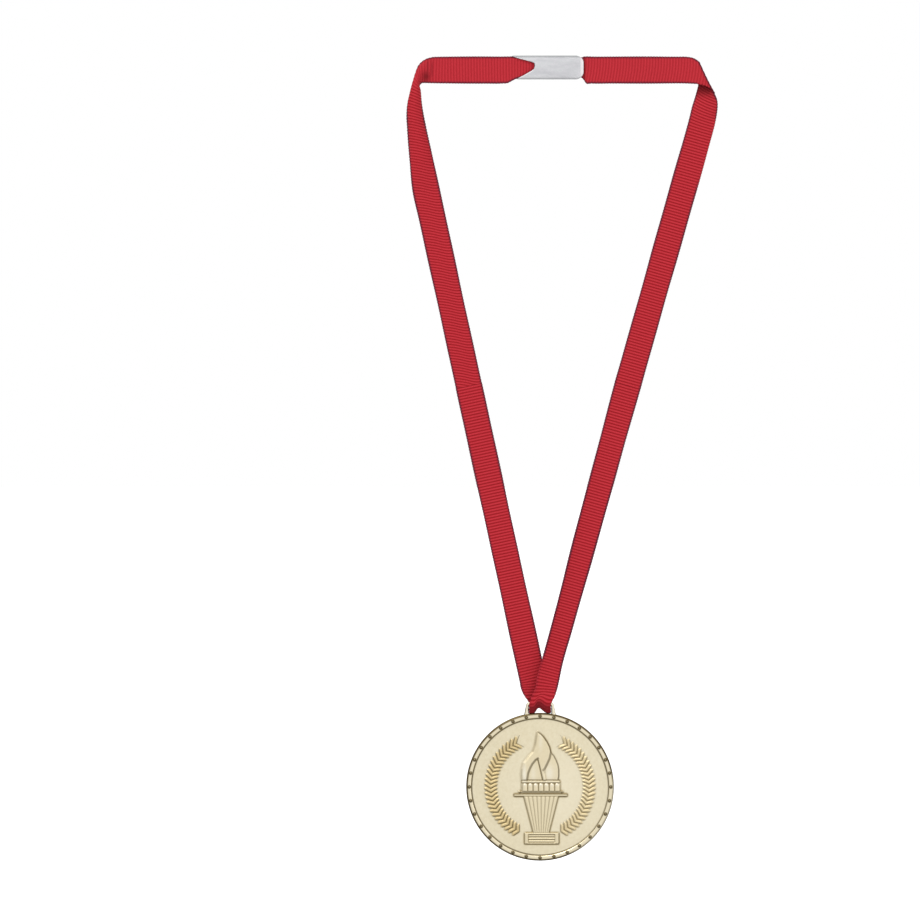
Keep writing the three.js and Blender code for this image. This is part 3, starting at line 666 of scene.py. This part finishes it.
def ribbon_shell(stations, bulge_side, look, droop=None, follow=None):
    """A grosgrain strip through stations, each (edge 0, edge 1, gather), its ribs one pitch apart.

    The gather is how far the strip bows out when its edges come closer than its width. The look
    gives the dark edge, the painted shade and the strength of the painted rib shading at each place.
    """
    low = np.array([s[0] for s in stations], float)
    high = np.array([s[1] for s in stations], float)
    gather = np.array([s[2] for s in stations], float)
    centre = (low + high) / 2
    knots = np.concatenate([[0], np.cumsum(np.linalg.norm(np.diff(centre, axis=0), axis=1))])
    ribs = max(2, round(knots[-1] / RIB_PITCH))
    at = np.linspace(0, knots[-1], ribs * STATIONS_PER_RIB + 1)
    e0, e1 = through(knots, low, at), through(knots, high, at)
    gather = np.clip(np.interp(at, knots, gather), 0, 1)
    centre = (e0 + e1) / 2
    chord_vector = e1 - e0
    chord = np.linalg.norm(chord_vector, axis=1)
    width_way = chord_vector / chord[:, None]
    out_way = unit(np.cross(np.gradient(centre, axis=0), width_way))

    t = np.linspace(-1, 1, ACROSS_POINTS)
    v = 0.55 * t + 0.45 * np.sin(np.pi * t / 2)
    along, out = arc_section(chord, v[None])
    flat = v[None] * chord[:, None] / 2
    bowed = gather[:, None] * (chord[:, None] < RIBBON_WIDTH)
    along = flat + (along - flat) * smooth(bowed, 0, 0.6)
    out = (out - out.max(1, keepdims=True) / 2) * bowed * bulge_side
    middle = (
        centre[:, None] + width_way[:, None] * along[..., None] + out_way[:, None] * out[..., None]
    )
    if droop is not None:
        middle[..., 2] -= droop(at / knots[-1], v)
    # Each lengthwise thread keeps its length, so the ribs stay square to it through a fold.
    runs = np.linalg.norm(np.diff(middle, axis=0), axis=2)
    thread = np.concatenate([np.zeros((1, ACROSS_POINTS)), np.cumsum(runs, axis=0)])
    drift = thread - thread.mean(1, keepdims=True)
    drift = drift if follow is None else drift * follow(at / knots[-1])[:, None]
    pitch = knots[-1] / ribs
    phase = (at[:, None] + drift) / pitch
    crest = 0.5 * np.abs(np.sin(np.pi * phase)) + 0.25 * (1 - np.cos(2 * np.pi * phase))

    edge = smooth(np.abs(v), 0.86, 1.0)[None]
    wander = 0.09 * np.sin(at / 17.0)[:, None] + 0.05 * np.sin(at / 6.1 + 1.0)[:, None]
    shift = np.sign(v)[None] * edge * (SELVAGE_BUMP * (crest - 0.5) + wander)
    middle = middle + width_way[:, None] * shift[..., None]
    lengthwise = np.gradient(middle, axis=0)
    crosswise = np.gradient(middle, axis=1)
    normal = unit(np.cross(lengthwise, crosswise))
    uneven = 1 + 0.12 * np.sin(phase * 2.3 + v[None] * 3.1) * np.sin(phase * 0.71)
    round_edge = np.sqrt(np.clip(1 - (np.clip(np.abs(v) - 0.94, 0, 1) / 0.06) ** 2, 0, 1))[None]
    half = (HALF_THICKNESS + RIB_HEIGHT * crest * uneven) * round_edge
    front = middle + normal * half[..., None]
    back = middle - normal * half[..., None]

    # One closed loop per station: the front from edge to edge, then the back without the edges.
    loop = 2 * ACROSS_POINTS - 2
    grid = np.concatenate([front, back[:, -2:0:-1]], axis=1)

    def spread(values):
        full = values + np.zeros_like(phase)
        return np.concatenate([full, full[:, -2:0:-1]], axis=1)

    # The dark selvage is as wide seen from in front where the strip bows as where it is flat.
    inset = np.minimum(along.max(1, keepdims=True) - along, along - along.min(1, keepdims=True))
    selvage = (1 - smooth(inset, 0.5, 1.0)) * smooth(np.abs(v), 0.55, 0.65)[None]
    dark_edge, shade, strength = look(at / knots[-1], v, middle, selvage)
    columns = {
        "rib_shading": spread(RIB_MEAN + (crest - RIB_MEAN) * strength),
        "edge": spread(dark_edge),
        "shade": spread(shade),
        "across": spread(v[None] * RIBBON_WIDTH / 2),
        "along": spread(phase * RIB_PITCH),
    }
    rows = len(at)
    points = with_hubs(grid.reshape(-1, 3), rows, loop)
    values = {k: with_hubs(c.reshape(-1, 1), rows, loop)[:, 0] for k, c in columns.items()}
    faces = turned_out(points, tube_faces(rows, loop))
    return points, faces, values


def strap_y(z, side):
    """The right strap (side -1) leans forward as it comes down, the left strap (side 1) back."""
    return MID_Y + side * LEG_OFFSET * min(1.0, (STRAP_TOP_Z - z) / LEAN_LENGTH)


def strap_station(z, slope, outward=1.0):
    """A station of a straight strap. Edge 1 is on the +X side if outward is 1, else on the -X side.

    Low down, the right strap's left edge is drawn in and the strap bows forward.
    """
    side = -1 if slope > 0 else 1
    way = np.array([1.0, 0.0, -slope]) / math.hypot(1, slope)
    centre = np.array([STRAP_START[0] + slope * (z - STRAP_START[1]), strap_y(z, side), z])
    drawn_in = float(np.interp(z, *zip(*DRAWN_IN)))
    low = centre - way * (RIBBON_WIDTH / 2 - (drawn_in if slope > 0 else 0))
    high = centre + way * RIBBON_WIDTH / 2
    return (low, high, 0.4) if outward > 0 else (high, low, 0.4)


def pair(x0, z0, x1, z1, y, gather):
    """A station from the X and Z of its two edges."""
    return np.array([x0, y, z0]), np.array([x1, y, z1]), gather


def band_station(x, half, z):
    """An upright, flat station of the neck band."""
    return pair(x, z - half, x, z + half, MID_Y, 0)


FULL_HALF = RIBBON_WIDTH / 2


def left_stations():
    """From inside the sleeve along the band, gathered round the left corner, and down the strap."""
    rows = [band_station(x, TUCKED_HALF, SLEEVE_Z) for x in (8.8, 3, -2)]
    rows += [
        pair(-7.5, 335.9, -7.5, 345.8, MID_Y, 0),
        pair(-11.4, 335.5, -11.4, 346.0, MID_Y, 0),
        pair(-13.4, 334.5, -13.4, 346.1, MID_Y, 0),
        pair(-15.2, 333.6, -15.2, 346.1, MID_Y, 0),
        band_station(-18, FULL_HALF, BAND_Z),
    ]
    rows += [band_station(x, FULL_HALF, BAND_Z) for x in (-26, -34, -42)]
    rows += [
        pair(-48.5, 333.35, -47.5, 346.05, MID_Y, 0),
        pair(-52.6, 333.4, -51.6, 345.8, MID_Y, 0),
        pair(-55.2, 333.5, -54.9, 344.6, MID_Y, 0.35),
        pair(-56.6, 333.4, -57.3, 342.1, MID_Y, 0.7),
        pair(-57.3, 332.6, -58.9, 338.0, MID_Y, 0.9),
        pair(-57.4, 331.7, -59.9, 334.6, MID_Y, 1),
        pair(-57.0, 330.6, -60.7, 331.8, MID_Y, 1),
        pair(-56.7, 328.0, -61.6, 328.2, MID_Y, 1),
        pair(-56.4, 324.6, -62.5, 324.2, MID_Y, 1),
        pair(-55.7, 320.0, -63.0, 319.0, MID_Y, 1),
        pair(-54.4, 313.8, -62.8, 312.2, MID_Y, 1),
        pair(-51.0, 299.2, -61.8, 296.8, -1.6, 1),
    ]
    rows += [strap_station(z, LEFT_SLOPE, outward=-1.0) for z in (284, 270, 250, 220, 205, SEAM_Z)]
    return rows


def right_stations():
    """From inside the sleeve along the band, folded back at the right corner, and down the strap."""
    rows = [band_station(x, TUCKED_HALF, SLEEVE_Z) for x in (9.2, 13, 17, 19.6)]
    rows += [pair(20.7, 335.1, 20.7, 346.0, MID_Y, 0), pair(21.7, 333.6, 21.7, 346.1, MID_Y, 0)]
    rows += [band_station(x, FULL_HALF, BAND_Z) for x in (24.5, 34, 44, 54, 60)]
    rows += [
        pair(65.5, 333.3, 64.8, 346.05, -1.8, 0),
        pair(71.0, 333.1, 69.6, 346.0, -2.2, 0),
        pair(75.2, 332.75, 72.6, 345.4, -2.4, 0),
        pair(78.7, 331.9, 74.4, 344.4, -2.35, 0),
        pair(81.0, 330.8, 75.4, 343.3, -1.3, 0),
        pair(82.6, 329.1, 75.5, 340.6, -0.1, 0),
        pair(83.5, 327.5, 75.4, 336.9, 0.15, 0),
        pair(84.1, 325.9, 75.1, 333.0, 0.1, 0.1),
        pair(84.4, 324.0, 74.2, 329.3, -0.2, 0.35),
        pair(84.35, 321.8, 73.2, 326.0, -0.6, 0.6),
        pair(84.0, 319.0, 72.1, 322.6, -0.95, 0.8),
        pair(83.2, 314.8, 71.0, 318.3, -1.5, 1),
    ]
    rows += [strap_station(z, RIGHT_SLOPE, outward=-1.0) for z in (305, 290, 265, 240, 215, SEAM_Z)]
    return rows


def loop_stations():
    """Down the left strap behind the bail's bar, round under it, and up the right strap in front."""
    rear, front = MID_Y + LEG_OFFSET, MID_Y - LEG_OFFSET
    down = [strap_station(z, LEFT_SLOPE) for z in (SEAM_Z, 170, 145, 120, 95, 75, 60, 51)]
    down += [
        pair(-8.8, 46.0, 3.9, 46.2, rear, 0.4),
        pair(-7.9, 44.0, 4.75, 44.0, rear, 0.2),
        pair(-6.6, 42.5, 5.05, 42.5, rear, 0),
        pair(IN_BAIL_LEFT, 41.3, IN_BAIL_RIGHT, 41.3, rear, 0),
    ]
    bend = []
    for degrees in range(0, 181, 20):
        a = math.radians(degrees)
        y, z = MID_Y + LEG_OFFSET * math.cos(a), BAR_Z - BEND_REACH * math.sin(a)
        bend.append(pair(IN_BAIL_LEFT, z, IN_BAIL_RIGHT, z, y, 0))
    up = [
        pair(IN_BAIL_LEFT, 41.3, IN_BAIL_RIGHT, 41.3, front, 0),
        pair(-4.85, 42.5, 5.9, 42.5, front, 0),
        pair(-3.95, 44.0, 7.1, 43.9, front, 0.2),
        pair(-2.6, 46.2, 7.9, 45.6, front, 0.4),
    ]
    up += [pair(-1.6, 52.1, 9.0, 49.7, strap_y(51, -1), 0.4)]
    up += [strap_station(z, RIGHT_SLOPE) for z in (60, 75, 95, 120, 145, 170, SEAM_Z)]
    return down + bend + up


def bight_droop(share, v):
    """How far the strip hangs down in the bail: its edges droop to the rim, so its end is an arch.

    Known fault: at rest it goes up to 0.28 mm into the disc's edge between X -5.0 and -3.2.
    """
    near = np.exp(-(((share - 0.5) * LOOP_LENGTH / 6.5) ** 4))[:, None]
    side = v[None] + 0.12
    lift = np.where(side < 0, smooth(-side, 0.04, 0.52), 0.9 * smooth(side, 0.02, 0.8))
    return 2.7 * near * lift


def rib_strength(z):
    """The painted rib shading is weaker on the band than on the straps."""
    return 1 - 0.55 * smooth(z, 330, 334)


def left_look(share, v, middle, selvage):
    """Painted shade where the band gathers into the left corner: a pit, deepest at the band's lower edge,
    and two pleat streaks up the band.
    """
    x, z = middle[..., 0], middle[..., 2]
    corner_pit_shade = 0.8 * np.exp(-(((x + 54.0) / 1.9) ** 2) - ((z - 336.6) / 2.6) ** 2)
    up = smooth(z, 335, 338) * (1 - smooth(z, 342, 345.5))
    pleat_shade = [0.45 * np.exp(-(((x - at) / 0.5) ** 2)) * up for at in (-53.2, -51.2)]
    return selvage, np.maximum.reduce([corner_pit_shade, *pleat_shade]), rib_strength(z)


def right_look(share, v, middle, selvage):
    """The crease of the folded corner is dark, and the strap is in shade where it leaves the band."""
    x, y, z = np.moveaxis(middle, -1, 0)
    crease = 1 - smooth(to_path(x, z, RIGHT_CREASE), 0.65, 1.2)
    behind = smooth(y, -1.5, -0.8)
    shade = 0.75 * behind * smooth(z, 325.0, 330.5) * (1 - 0.6 * smooth(x, 79.5, 82.5))
    crossing = smooth(x, 73.5, 76.0) * smooth(-y, 0.9, 1.4) * (z < 334) * (v[None] < 0)
    # Painted shadow on the band just right of the sleeve's end.
    shade = np.maximum(shade, 0.75 * np.exp(-(((x - SLEEVE_RIGHT - 0.3) / 0.5) ** 2)))
    return np.maximum(selvage * (1 - 0.9 * crossing), crease), shade, rib_strength(z)


def loop_look(share, v, middle, selvage):
    """The dark edge is hidden in the bail and where the right strap's left edge is turned back."""
    from_bend = ((share - 0.5) * LOOP_LENGTH)[:, None]
    in_bail = np.exp(-((from_bend / 9.0) ** 4))
    turned = smooth(from_bend, 3, 10) * (1 - smooth(from_bend, 20, 26)) * (v[None] < 0)
    shown = (1 - 0.9 * in_bail) * (1 - 0.75 * turned)
    # Painted shade where the strip bends under the bar.
    shade = 0.85 * (1 - smooth(np.abs(from_bend), 2.2, 5.0))
    return selvage * shown, shade + 0 * middle[..., 0], 1.0


# ---- materials ----


class Nodes:
    """Builds a node tree a call at a time."""

    def __init__(self, tree):
        self.tree = tree
        self.tree.nodes.clear()

    def add(self, kind, inputs=None, **settings):
        node = self.tree.nodes.new(kind)
        for key, value in settings.items():
            setattr(node, key, value)
        for key, value in (inputs or {}).items():
            self.set(node, key, value)
        return node

    def set(self, node, key, value):
        socket = node.inputs[key]
        if isinstance(value, bpy.types.NodeSocket):
            self.tree.links.new(value, socket)
        else:
            socket.default_value = value

    def attribute(self, name):
        return self.add("ShaderNodeAttribute", attribute_name=name).outputs["Fac"]

    def maths(self, operation, a, b=0.0, clamp=False):
        node = self.add("ShaderNodeMath", {0: a, 1: b}, operation=operation, use_clamp=clamp)
        return node.outputs[0]

    def remap(self, value, lo, hi, to_lo=0.0, to_hi=1.0):
        inputs = {"Value": value, "From Min": lo, "From Max": hi, "To Min": to_lo, "To Max": to_hi}
        return self.add("ShaderNodeMapRange", inputs, clamp=True).outputs["Result"]

    def mix(self, factor, a, b):
        node = self.add("ShaderNodeMix", data_type="RGBA")
        for index, value in ((0, factor), (6, a), (7, b)):
            self.set(node, index, value)
        return node.outputs[2]

    def noise(self, scale, detail=3.0, roughness=0.55, vector=None):
        inputs = {"Scale": scale, "Detail": detail, "Roughness": roughness}
        if vector is not None:
            inputs["Vector"] = vector
        return self.add("ShaderNodeTexNoise", inputs).outputs["Fac"]

    def vector(self, operation, inputs):
        return self.add("ShaderNodeVectorMath", inputs, operation=operation).outputs[0]

    def position(self):
        return self.add("ShaderNodeTexCoord").outputs["Object"]

    def stretched(self, scale):
        return self.add("ShaderNodeMapping", {"Vector": self.position(), "Scale": scale}).outputs[0]

    def centred(self, centre, reach):
        """Object position measured from a centre, in units of a reach."""
        moved = self.vector("SUBTRACT", {0: self.position(), 1: centre})
        return self.vector("SCALE", {0: moved, "Scale": 1 / reach})

    def bump(self, height, distance, strength, normal=None):
        inputs = {"Height": height, "Distance": distance, "Strength": strength}
        if normal is not None:
            inputs["Normal"] = normal
        return self.add("ShaderNodeBump", inputs).outputs["Normal"]

    def finish(self, **inputs):
        shader = self.add("ShaderNodeBsdfPrincipled")
        for key, value in inputs.items():
            self.set(shader, key.replace("_", " "), value)
        self.add("ShaderNodeOutputMaterial", {"Surface": shader.outputs[0]})


def material(name):
    made = bpy.data.materials.new(name)
    made.use_nodes = True
    return made, Nodes(made.node_tree)


def gold_material():
    """Light gold plate: a blasted field and a polished rim, with painted shade in the hollows, the lines and
    the raised picture, painted highlights, and a painted pool of light in the middle.
    """
    made, n = material("gold_plate")
    hollow, line = n.attribute("hollow"), n.attribute("line")
    warm, polish = n.attribute("warm"), n.attribute("polish")
    cloud = n.noise(60.0, 3.0)
    base = n.mix(n.remap(cloud, 0.35, 0.65), (0.84, 0.75, 0.535, 1), (0.89, 0.805, 0.59, 1))
    # Painted pool of light: the middle of the field is lighter.
    ball = n.add(
        "ShaderNodeTexGradient", {0: n.centred((0.006, 0.0, -0.002), 0.03)}, gradient_type="SPHERICAL"
    )
    painted_light_middle = n.remap(ball.outputs["Fac"], 0.0, 0.7, 0.0, 0.5)
    base = n.mix(painted_light_middle, base, (0.97, 0.89, 0.69, 1))
    # Painted shade: a deeper, darker gold on the leaves, the raised picture, the rim's front and the beads.
    base = n.mix(n.maths("MULTIPLY", warm, 0.8), base, (0.71, 0.57, 0.305, 1))
    base = n.mix(n.maths("MULTIPLY", polish, 0.5), base, (0.95, 0.82, 0.53, 1))
    # Painted highlights: a pale cream on parts of the flame, the flute tops, the rim's front and the bail.
    base = n.mix(n.attribute("pale"), base, (1.0, 0.96, 0.83, 1))
    fleck = n.remap(n.noise(900.0, 2.0), 0.3, 0.7, -0.07, 0.07)
    # Painted shade in the hollows, broken up by fine flecks.
    hollow_shade_mix = n.maths("MULTIPLY", n.maths("ADD", hollow, fleck, clamp=True), 0.72)
    base = n.mix(hollow_shade_mix, base, (0.27, 0.185, 0.05, 1))
    # Painted shade on the picture's lines and grooves, the rim's corners and edge, the beads and the bail's
    # sides.
    base = n.mix(n.maths("MULTIPLY", line, 0.96), base, (0.085, 0.055, 0.012, 1))
    grain = n.noise(3800.0, 2.0, 0.6)
    smear = n.noise(25.0, 4.0, 0.6)
    rough = n.maths("ADD", n.remap(polish, 0, 1, 0.43, 0.27), n.remap(smear, 0.3, 0.7, -0.03, 0.05))
    rough = n.maths("ADD", rough, n.maths("MULTIPLY", n.maths("MAXIMUM", hollow_shade_mix, line), 0.15))
    rough = n.maths("ADD", rough, n.maths("MULTIPLY", warm, 0.13))
    scratches = n.noise(260.0, 2.0, 0.5, n.stretched((1.0, 1.0, 14.0)))
    normal = n.bump(grain, 0.00002, n.remap(polish, 0, 1, 0.55, 0.12))
    normal = n.bump(scratches, 0.00001, 0.25, normal)
    # The painted shade on the lines also darkens their reflections.
    line_shade_tint = n.mix(line, (1, 1, 1, 1), (0.25, 0.2, 0.12, 1))
    n.finish(
        Base_Color=base, Metallic=1.0, Roughness=rough, Normal=normal, Specular_Tint=line_shade_tint
    )
    return made


def ribbon_material():
    """Red grosgrain: cords under fine warp threads, dark at the selvage, with painted shade between the
    cords and in folds, and painted light on the crests.
    """
    made, n = material("ribbon_grosgrain")
    rib_shading, edge = n.attribute("rib_shading"), n.attribute("edge")
    across, along = n.attribute("across"), n.attribute("along")
    threads = n.maths("SINE", n.maths("MULTIPLY", across, 2 * math.pi / 0.36))
    threads = n.remap(threads, -1, 1)
    stretch = {"X": n.maths("MULTIPLY", along, 0.45), "Y": n.maths("MULTIPLY", across, 2.2)}
    vector = n.add("ShaderNodeCombineXYZ", stretch)
    streak = n.noise(1.0, 3.0, 0.6, vector.outputs[0])
    lint = n.noise(2600.0, 2.0, 0.6)
    # Painted shade in the grooves between cords and painted light on their crests.
    crest = n.remap(rib_shading, 0.12, 0.95)
    base = n.mix(crest, (0.2, 0.0, 0.003, 1), (0.38, 0.01, 0.02, 1))
    base = n.mix(n.remap(streak, 0.35, 0.7, 0.0, 0.6), base, (0.285, 0.004, 0.009, 1))
    # Painted highlights on the warp threads over the crests.
    lit_threads = n.maths("MULTIPLY", n.maths("MULTIPLY", threads, crest), 0.32)
    base = n.mix(lit_threads, base, (0.62, 0.08, 0.10, 1))
    selvage = n.maths("MULTIPLY", edge, n.remap(rib_shading, 0.0, 0.9, 1.0, 0.78))
    base = n.mix(selvage, base, (0.05, 0.006, 0.018, 1))
    # Painted shade from ambient occlusion in folds and where strips lie close.
    painted_ao_shade = n.add("ShaderNodeAmbientOcclusion", {"Distance": 0.004}, samples=6).outputs["AO"]
    base = n.mix(n.remap(painted_ao_shade, 0.3, 0.88, 0.85, 0.0), base, (0.1, 0.002, 0.004, 1))
    base = n.mix(n.attribute("shade"), base, (0.1, 0.001, 0.003, 1))
    weave = n.maths("ADD", n.maths("MULTIPLY", threads, 0.7), n.maths("MULTIPLY", lint, 0.6))
    normal = n.bump(weave, 0.00005, 0.6)
    rough = n.maths("ADD", 0.62, n.remap(lint, 0.3, 0.7, -0.06, 0.08))
    n.finish(
        Base_Color=base,
        Roughness=rough,
        Normal=normal,
        Specular_IOR_Level=0.12,
        Sheen_Weight=0.04,
        Sheen_Roughness=0.45,
        Sheen_Tint=(1.0, 0.45, 0.45, 1),
    )
    return made


def sleeve_material():
    """Satin grey metal with a faint lengthwise brush and cloudy handling marks, painted shade along its top
    and bottom edges and a painted highlight on its right end.
    """
    made, n = material("satin_silver")
    cloud = n.noise(110.0, 4.0)
    streak = n.noise(300.0, 3.0, 0.6, n.stretched((0.25, 1.0, 1.0)))
    base = n.mix(n.remap(cloud, 0.43, 0.57), (0.42, 0.46, 0.455, 1), (0.59, 0.555, 0.59, 1))
    base = n.mix(n.remap(streak, 0.42, 0.64, 0.0, 0.5), base, (0.37, 0.365, 0.39, 1))
    # Painted shade along the top and bottom edges.
    base = n.mix(n.maths("MULTIPLY", n.attribute("painted_edge_shade"), 0.8), base, (0.16, 0.17, 0.17, 1))
    # Painted highlight on the right end's lip.
    base = n.mix(n.maths("MULTIPLY", n.attribute("rim"), 0.6), base, (0.78, 0.70, 0.72, 1))
    brush = n.noise(420.0, 3.0, 0.6, n.stretched((0.12, 1.0, 1.0)))
    rough = n.maths("ADD", 0.42, n.remap(cloud, 0.3, 0.7, -0.05, 0.08))
    normal = n.bump(brush, 0.00003, 0.5)
    n.finish(Base_Color=base, Metallic=0.35, Roughness=rough, Normal=normal, Specular_IOR_Level=0.5)
    return made


# ---- sleeve ----


def sleeve_shell():
    """A flattened tube with rounded right corners, its left end cut to a fish mouth in front."""
    around = SLEEVE_AROUND
    turn = np.arange(around) / around * 2 * np.pi
    zs = np.sign(np.sin(turn)) * np.abs(np.sin(turn)) ** SLEEVE_ROUND_Z
    ys = -np.sign(np.cos(turn)) * np.abs(np.cos(turn)) ** SLEEVE_ROUND_Y
    front = smooth(-ys, -0.15, 0.55)
    up = zs * SLEEVE_HALF_HEIGHT
    mouth = np.interp(up, *zip(*SLEEVE_MOUTH))
    plain = np.interp(zs, [-1, 1], SLEEVE_BACK_LEFT)
    start = plain + (mouth - plain) * front
    over = np.clip(np.abs(up) - (SLEEVE_HALF_HEIGHT - SLEEVE_CORNER), 0, SLEEVE_CORNER)
    end = SLEEVE_RIGHT - (SLEEVE_CORNER - np.sqrt(SLEEVE_CORNER**2 - over**2))

    t = np.linspace(0, 1, SLEEVE_ROWS)[:, None]
    shells = []
    for wall in (0.0, SLEEVE_WALL):
        x = start + (end - start) * t
        near = np.minimum(x - start, end - x)
        ease = np.sqrt(np.clip(1 - (1 - np.clip(near / SLEEVE_LIP, 0, 1)) ** 2, 0, 1))
        draw = (1 - ease) * SLEEVE_WALL / 2 * (1 if wall == 0 else -1)
        pillow = 1 + SLEEVE_PILLOW * np.sin(np.pi * np.clip((x + 4) / 24, 0, 1))
        half_z = SLEEVE_HALF_HEIGHT - wall - draw
        half_y = (SLEEVE_HALF_DEPTH - wall) * pillow - draw
        y = MID_Y + ys * half_y
        z = SLEEVE_Z + zs * half_z
        shells.append(np.stack([x + 0 * y, y, z + 0 * x], -1))
    # Out along the outside and back along the inside, so the rows close into a ring.
    outer, inner = shells
    grid = np.concatenate([outer, inner[::-1]])
    i, j = np.meshgrid(np.arange(len(grid)), np.arange(around), indexing="ij")
    i2, j2 = (i + 1) % len(grid), (j + 1) % around
    quads = np.stack([i * around + j, i2 * around + j, i2 * around + j2, i * around + j2], -1)
    points = grid.reshape(-1, 3)
    # Painted shade along the top and bottom edges.
    painted_edge_shade = smooth(zs, 0.72, 0.97) + 0.5 * smooth(-zs, 0.8, 1.0) + 0 * grid[..., 0]
    # Painted highlight on the right end's lip.
    rim = smooth(grid[..., 0], SLEEVE_RIGHT - 1.7, SLEEVE_RIGHT - 0.9)
    values = {"painted_edge_shade": painted_edge_shade.ravel(), "rim": rim.ravel()}
    return points, turned_out(points, [quads.reshape(-1, 4)]), values


# ---- the pieces; the medal and the sleeve on their bodies ----

gold, red, silver = gold_material(), ribbon_material(), sleeve_material()

medal = piece("medal_cast", joined([field_shell(), disc_shell(), bail_shell()] + bead_shells()), gold)
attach(medal, "medal")
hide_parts("medal_casting")


def ribbon_piece(name, shell, bodies, blend_heights, *nodes):
    """A ribbon in place of the given CAD nodes."""
    strip = piece(name, shell, red)
    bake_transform(strip)
    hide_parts(*nodes)


left_shell = ribbon_shell(left_stations(), -1.0, left_look, None, lambda s: 0.35 + 0 * s)
upper = ("neck_band", "straps")
ribbon_piece("ribbon_left", left_shell, upper, FOLD_BLEND, "neck_ribbon_left", "ribbon_strap_left")

right_shell = ribbon_shell(right_stations(), -1.0, right_look, None, lambda s: 1 - smooth(s, 0.36, 0.46))
ribbon_piece("ribbon_right", right_shell, upper, FOLD_BLEND, "neck_ribbon_right", "ribbon_strap_right")

loop_shell = ribbon_shell(loop_stations(), 1.0, loop_look, bight_droop, lambda s: 0 * s)
ribbon_piece("ribbon_loop", loop_shell, ("straps", "bight"), SWAY_BLEND, "ribbon_bight")

sleeve = piece("sleeve_tube", sleeve_shell(), silver)
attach(sleeve, "neck_band")
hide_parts("joining_sleeve")


# ---- studio, in metres ----

# The camera looks level along +Y and sees FRAME_WIDTH at the ribbon's depth.
FRAME_WIDTH = 0.43608
LENS = 150.0
SENSOR = 36.0
VIEW_X, VIEW_Z = -0.03792, 0.15486
FLOOR_Z = -0.075
FLOOR_HALF = 30.0


def aim(obj, target):
    way = Vector(target) - obj.location
    obj.rotation_euler = way.to_track_quat("-Z", "Y").to_euler()


def area_light(name, location, target, size, power):
    lamp = bpy.data.lights.new(name, "AREA")
    lamp.shape = "SQUARE"
    lamp.size = size
    lamp.energy = power
    obj = bpy.data.objects.new(name, lamp)
    obj.location = location
    bpy.context.scene.collection.objects.link(obj)
    aim(obj, target)


def studio():
    scene = bpy.context.scene
    world = bpy.data.worlds.new("studio")
    scene.world = world
    world.use_nodes = True
    n = Nodes(world.node_tree)
    way = n.add("ShaderNodeSeparateXYZ", {0: n.add("ShaderNodeTexCoord").outputs["Generated"]})
    front = n.remap(n.maths("MULTIPLY", way.outputs[1], -1.0), 0.25, 0.9, 0.4, 0.86)
    top = n.remap(way.outputs[2], 0.15, 0.9, 0.0, 0.55)
    level = n.maths("ADD", front, top)
    seen = n.add("ShaderNodeLightPath").outputs["Is Camera Ray"]
    strength = n.remap(seen, 0.0, 1.0, level, 1.0)
    shade = n.add("ShaderNodeBackground", {"Color": (1.0, 1.0, 1.0, 1), "Strength": strength})
    n.add("ShaderNodeOutputWorld", {"Surface": shade.outputs[0]})

    mesh = bpy.data.meshes.new("floor")
    corners = [(-1, -1), (1, -1), (1, 1), (-1, 1)]
    points = [(x * FLOOR_HALF, y * FLOOR_HALF, FLOOR_Z) for x, y in corners]
    mesh.from_pydata(points, [], [(0, 1, 2, 3)])
    made, n = material("floor")
    paint = n.add("ShaderNodeBsdfDiffuse", {"Color": (0.86, 0.86, 0.86, 1)})
    glow = n.add("ShaderNodeEmission", {"Color": (1, 1, 1, 1), "Strength": 0.45})
    both = n.add("ShaderNodeAddShader", {0: paint.outputs[0], 1: glow.outputs[0]})
    n.add("ShaderNodeOutputMaterial", {"Surface": both.outputs[0]})
    mesh.materials.append(made)
    floor = bpy.data.objects.new("floor", mesh)
    floor.visible_glossy = False
    scene.collection.objects.link(floor)

    area_light("key", (-0.8, -1.25, 2.3), (0, 0, 0.15), 1.0, 34)
    area_light("fill", (1.6, -1.9, 0.5), (0, 0, 0.15), 1.5, 6)

    camera = bpy.data.cameras.new("camera")
    camera.lens = LENS
    camera.sensor_width = SENSOR
    obj = bpy.data.objects.new("camera", camera)
    obj.location = (VIEW_X, MID_Y * MM - FRAME_WIDTH * LENS / SENSOR, VIEW_Z)
    obj.rotation_euler = (math.pi / 2, 0, 0)
    camera.clip_end = 100
    scene.collection.objects.link(obj)
    scene.camera = obj
    scene.view_settings.view_transform = "Standard"


studio()
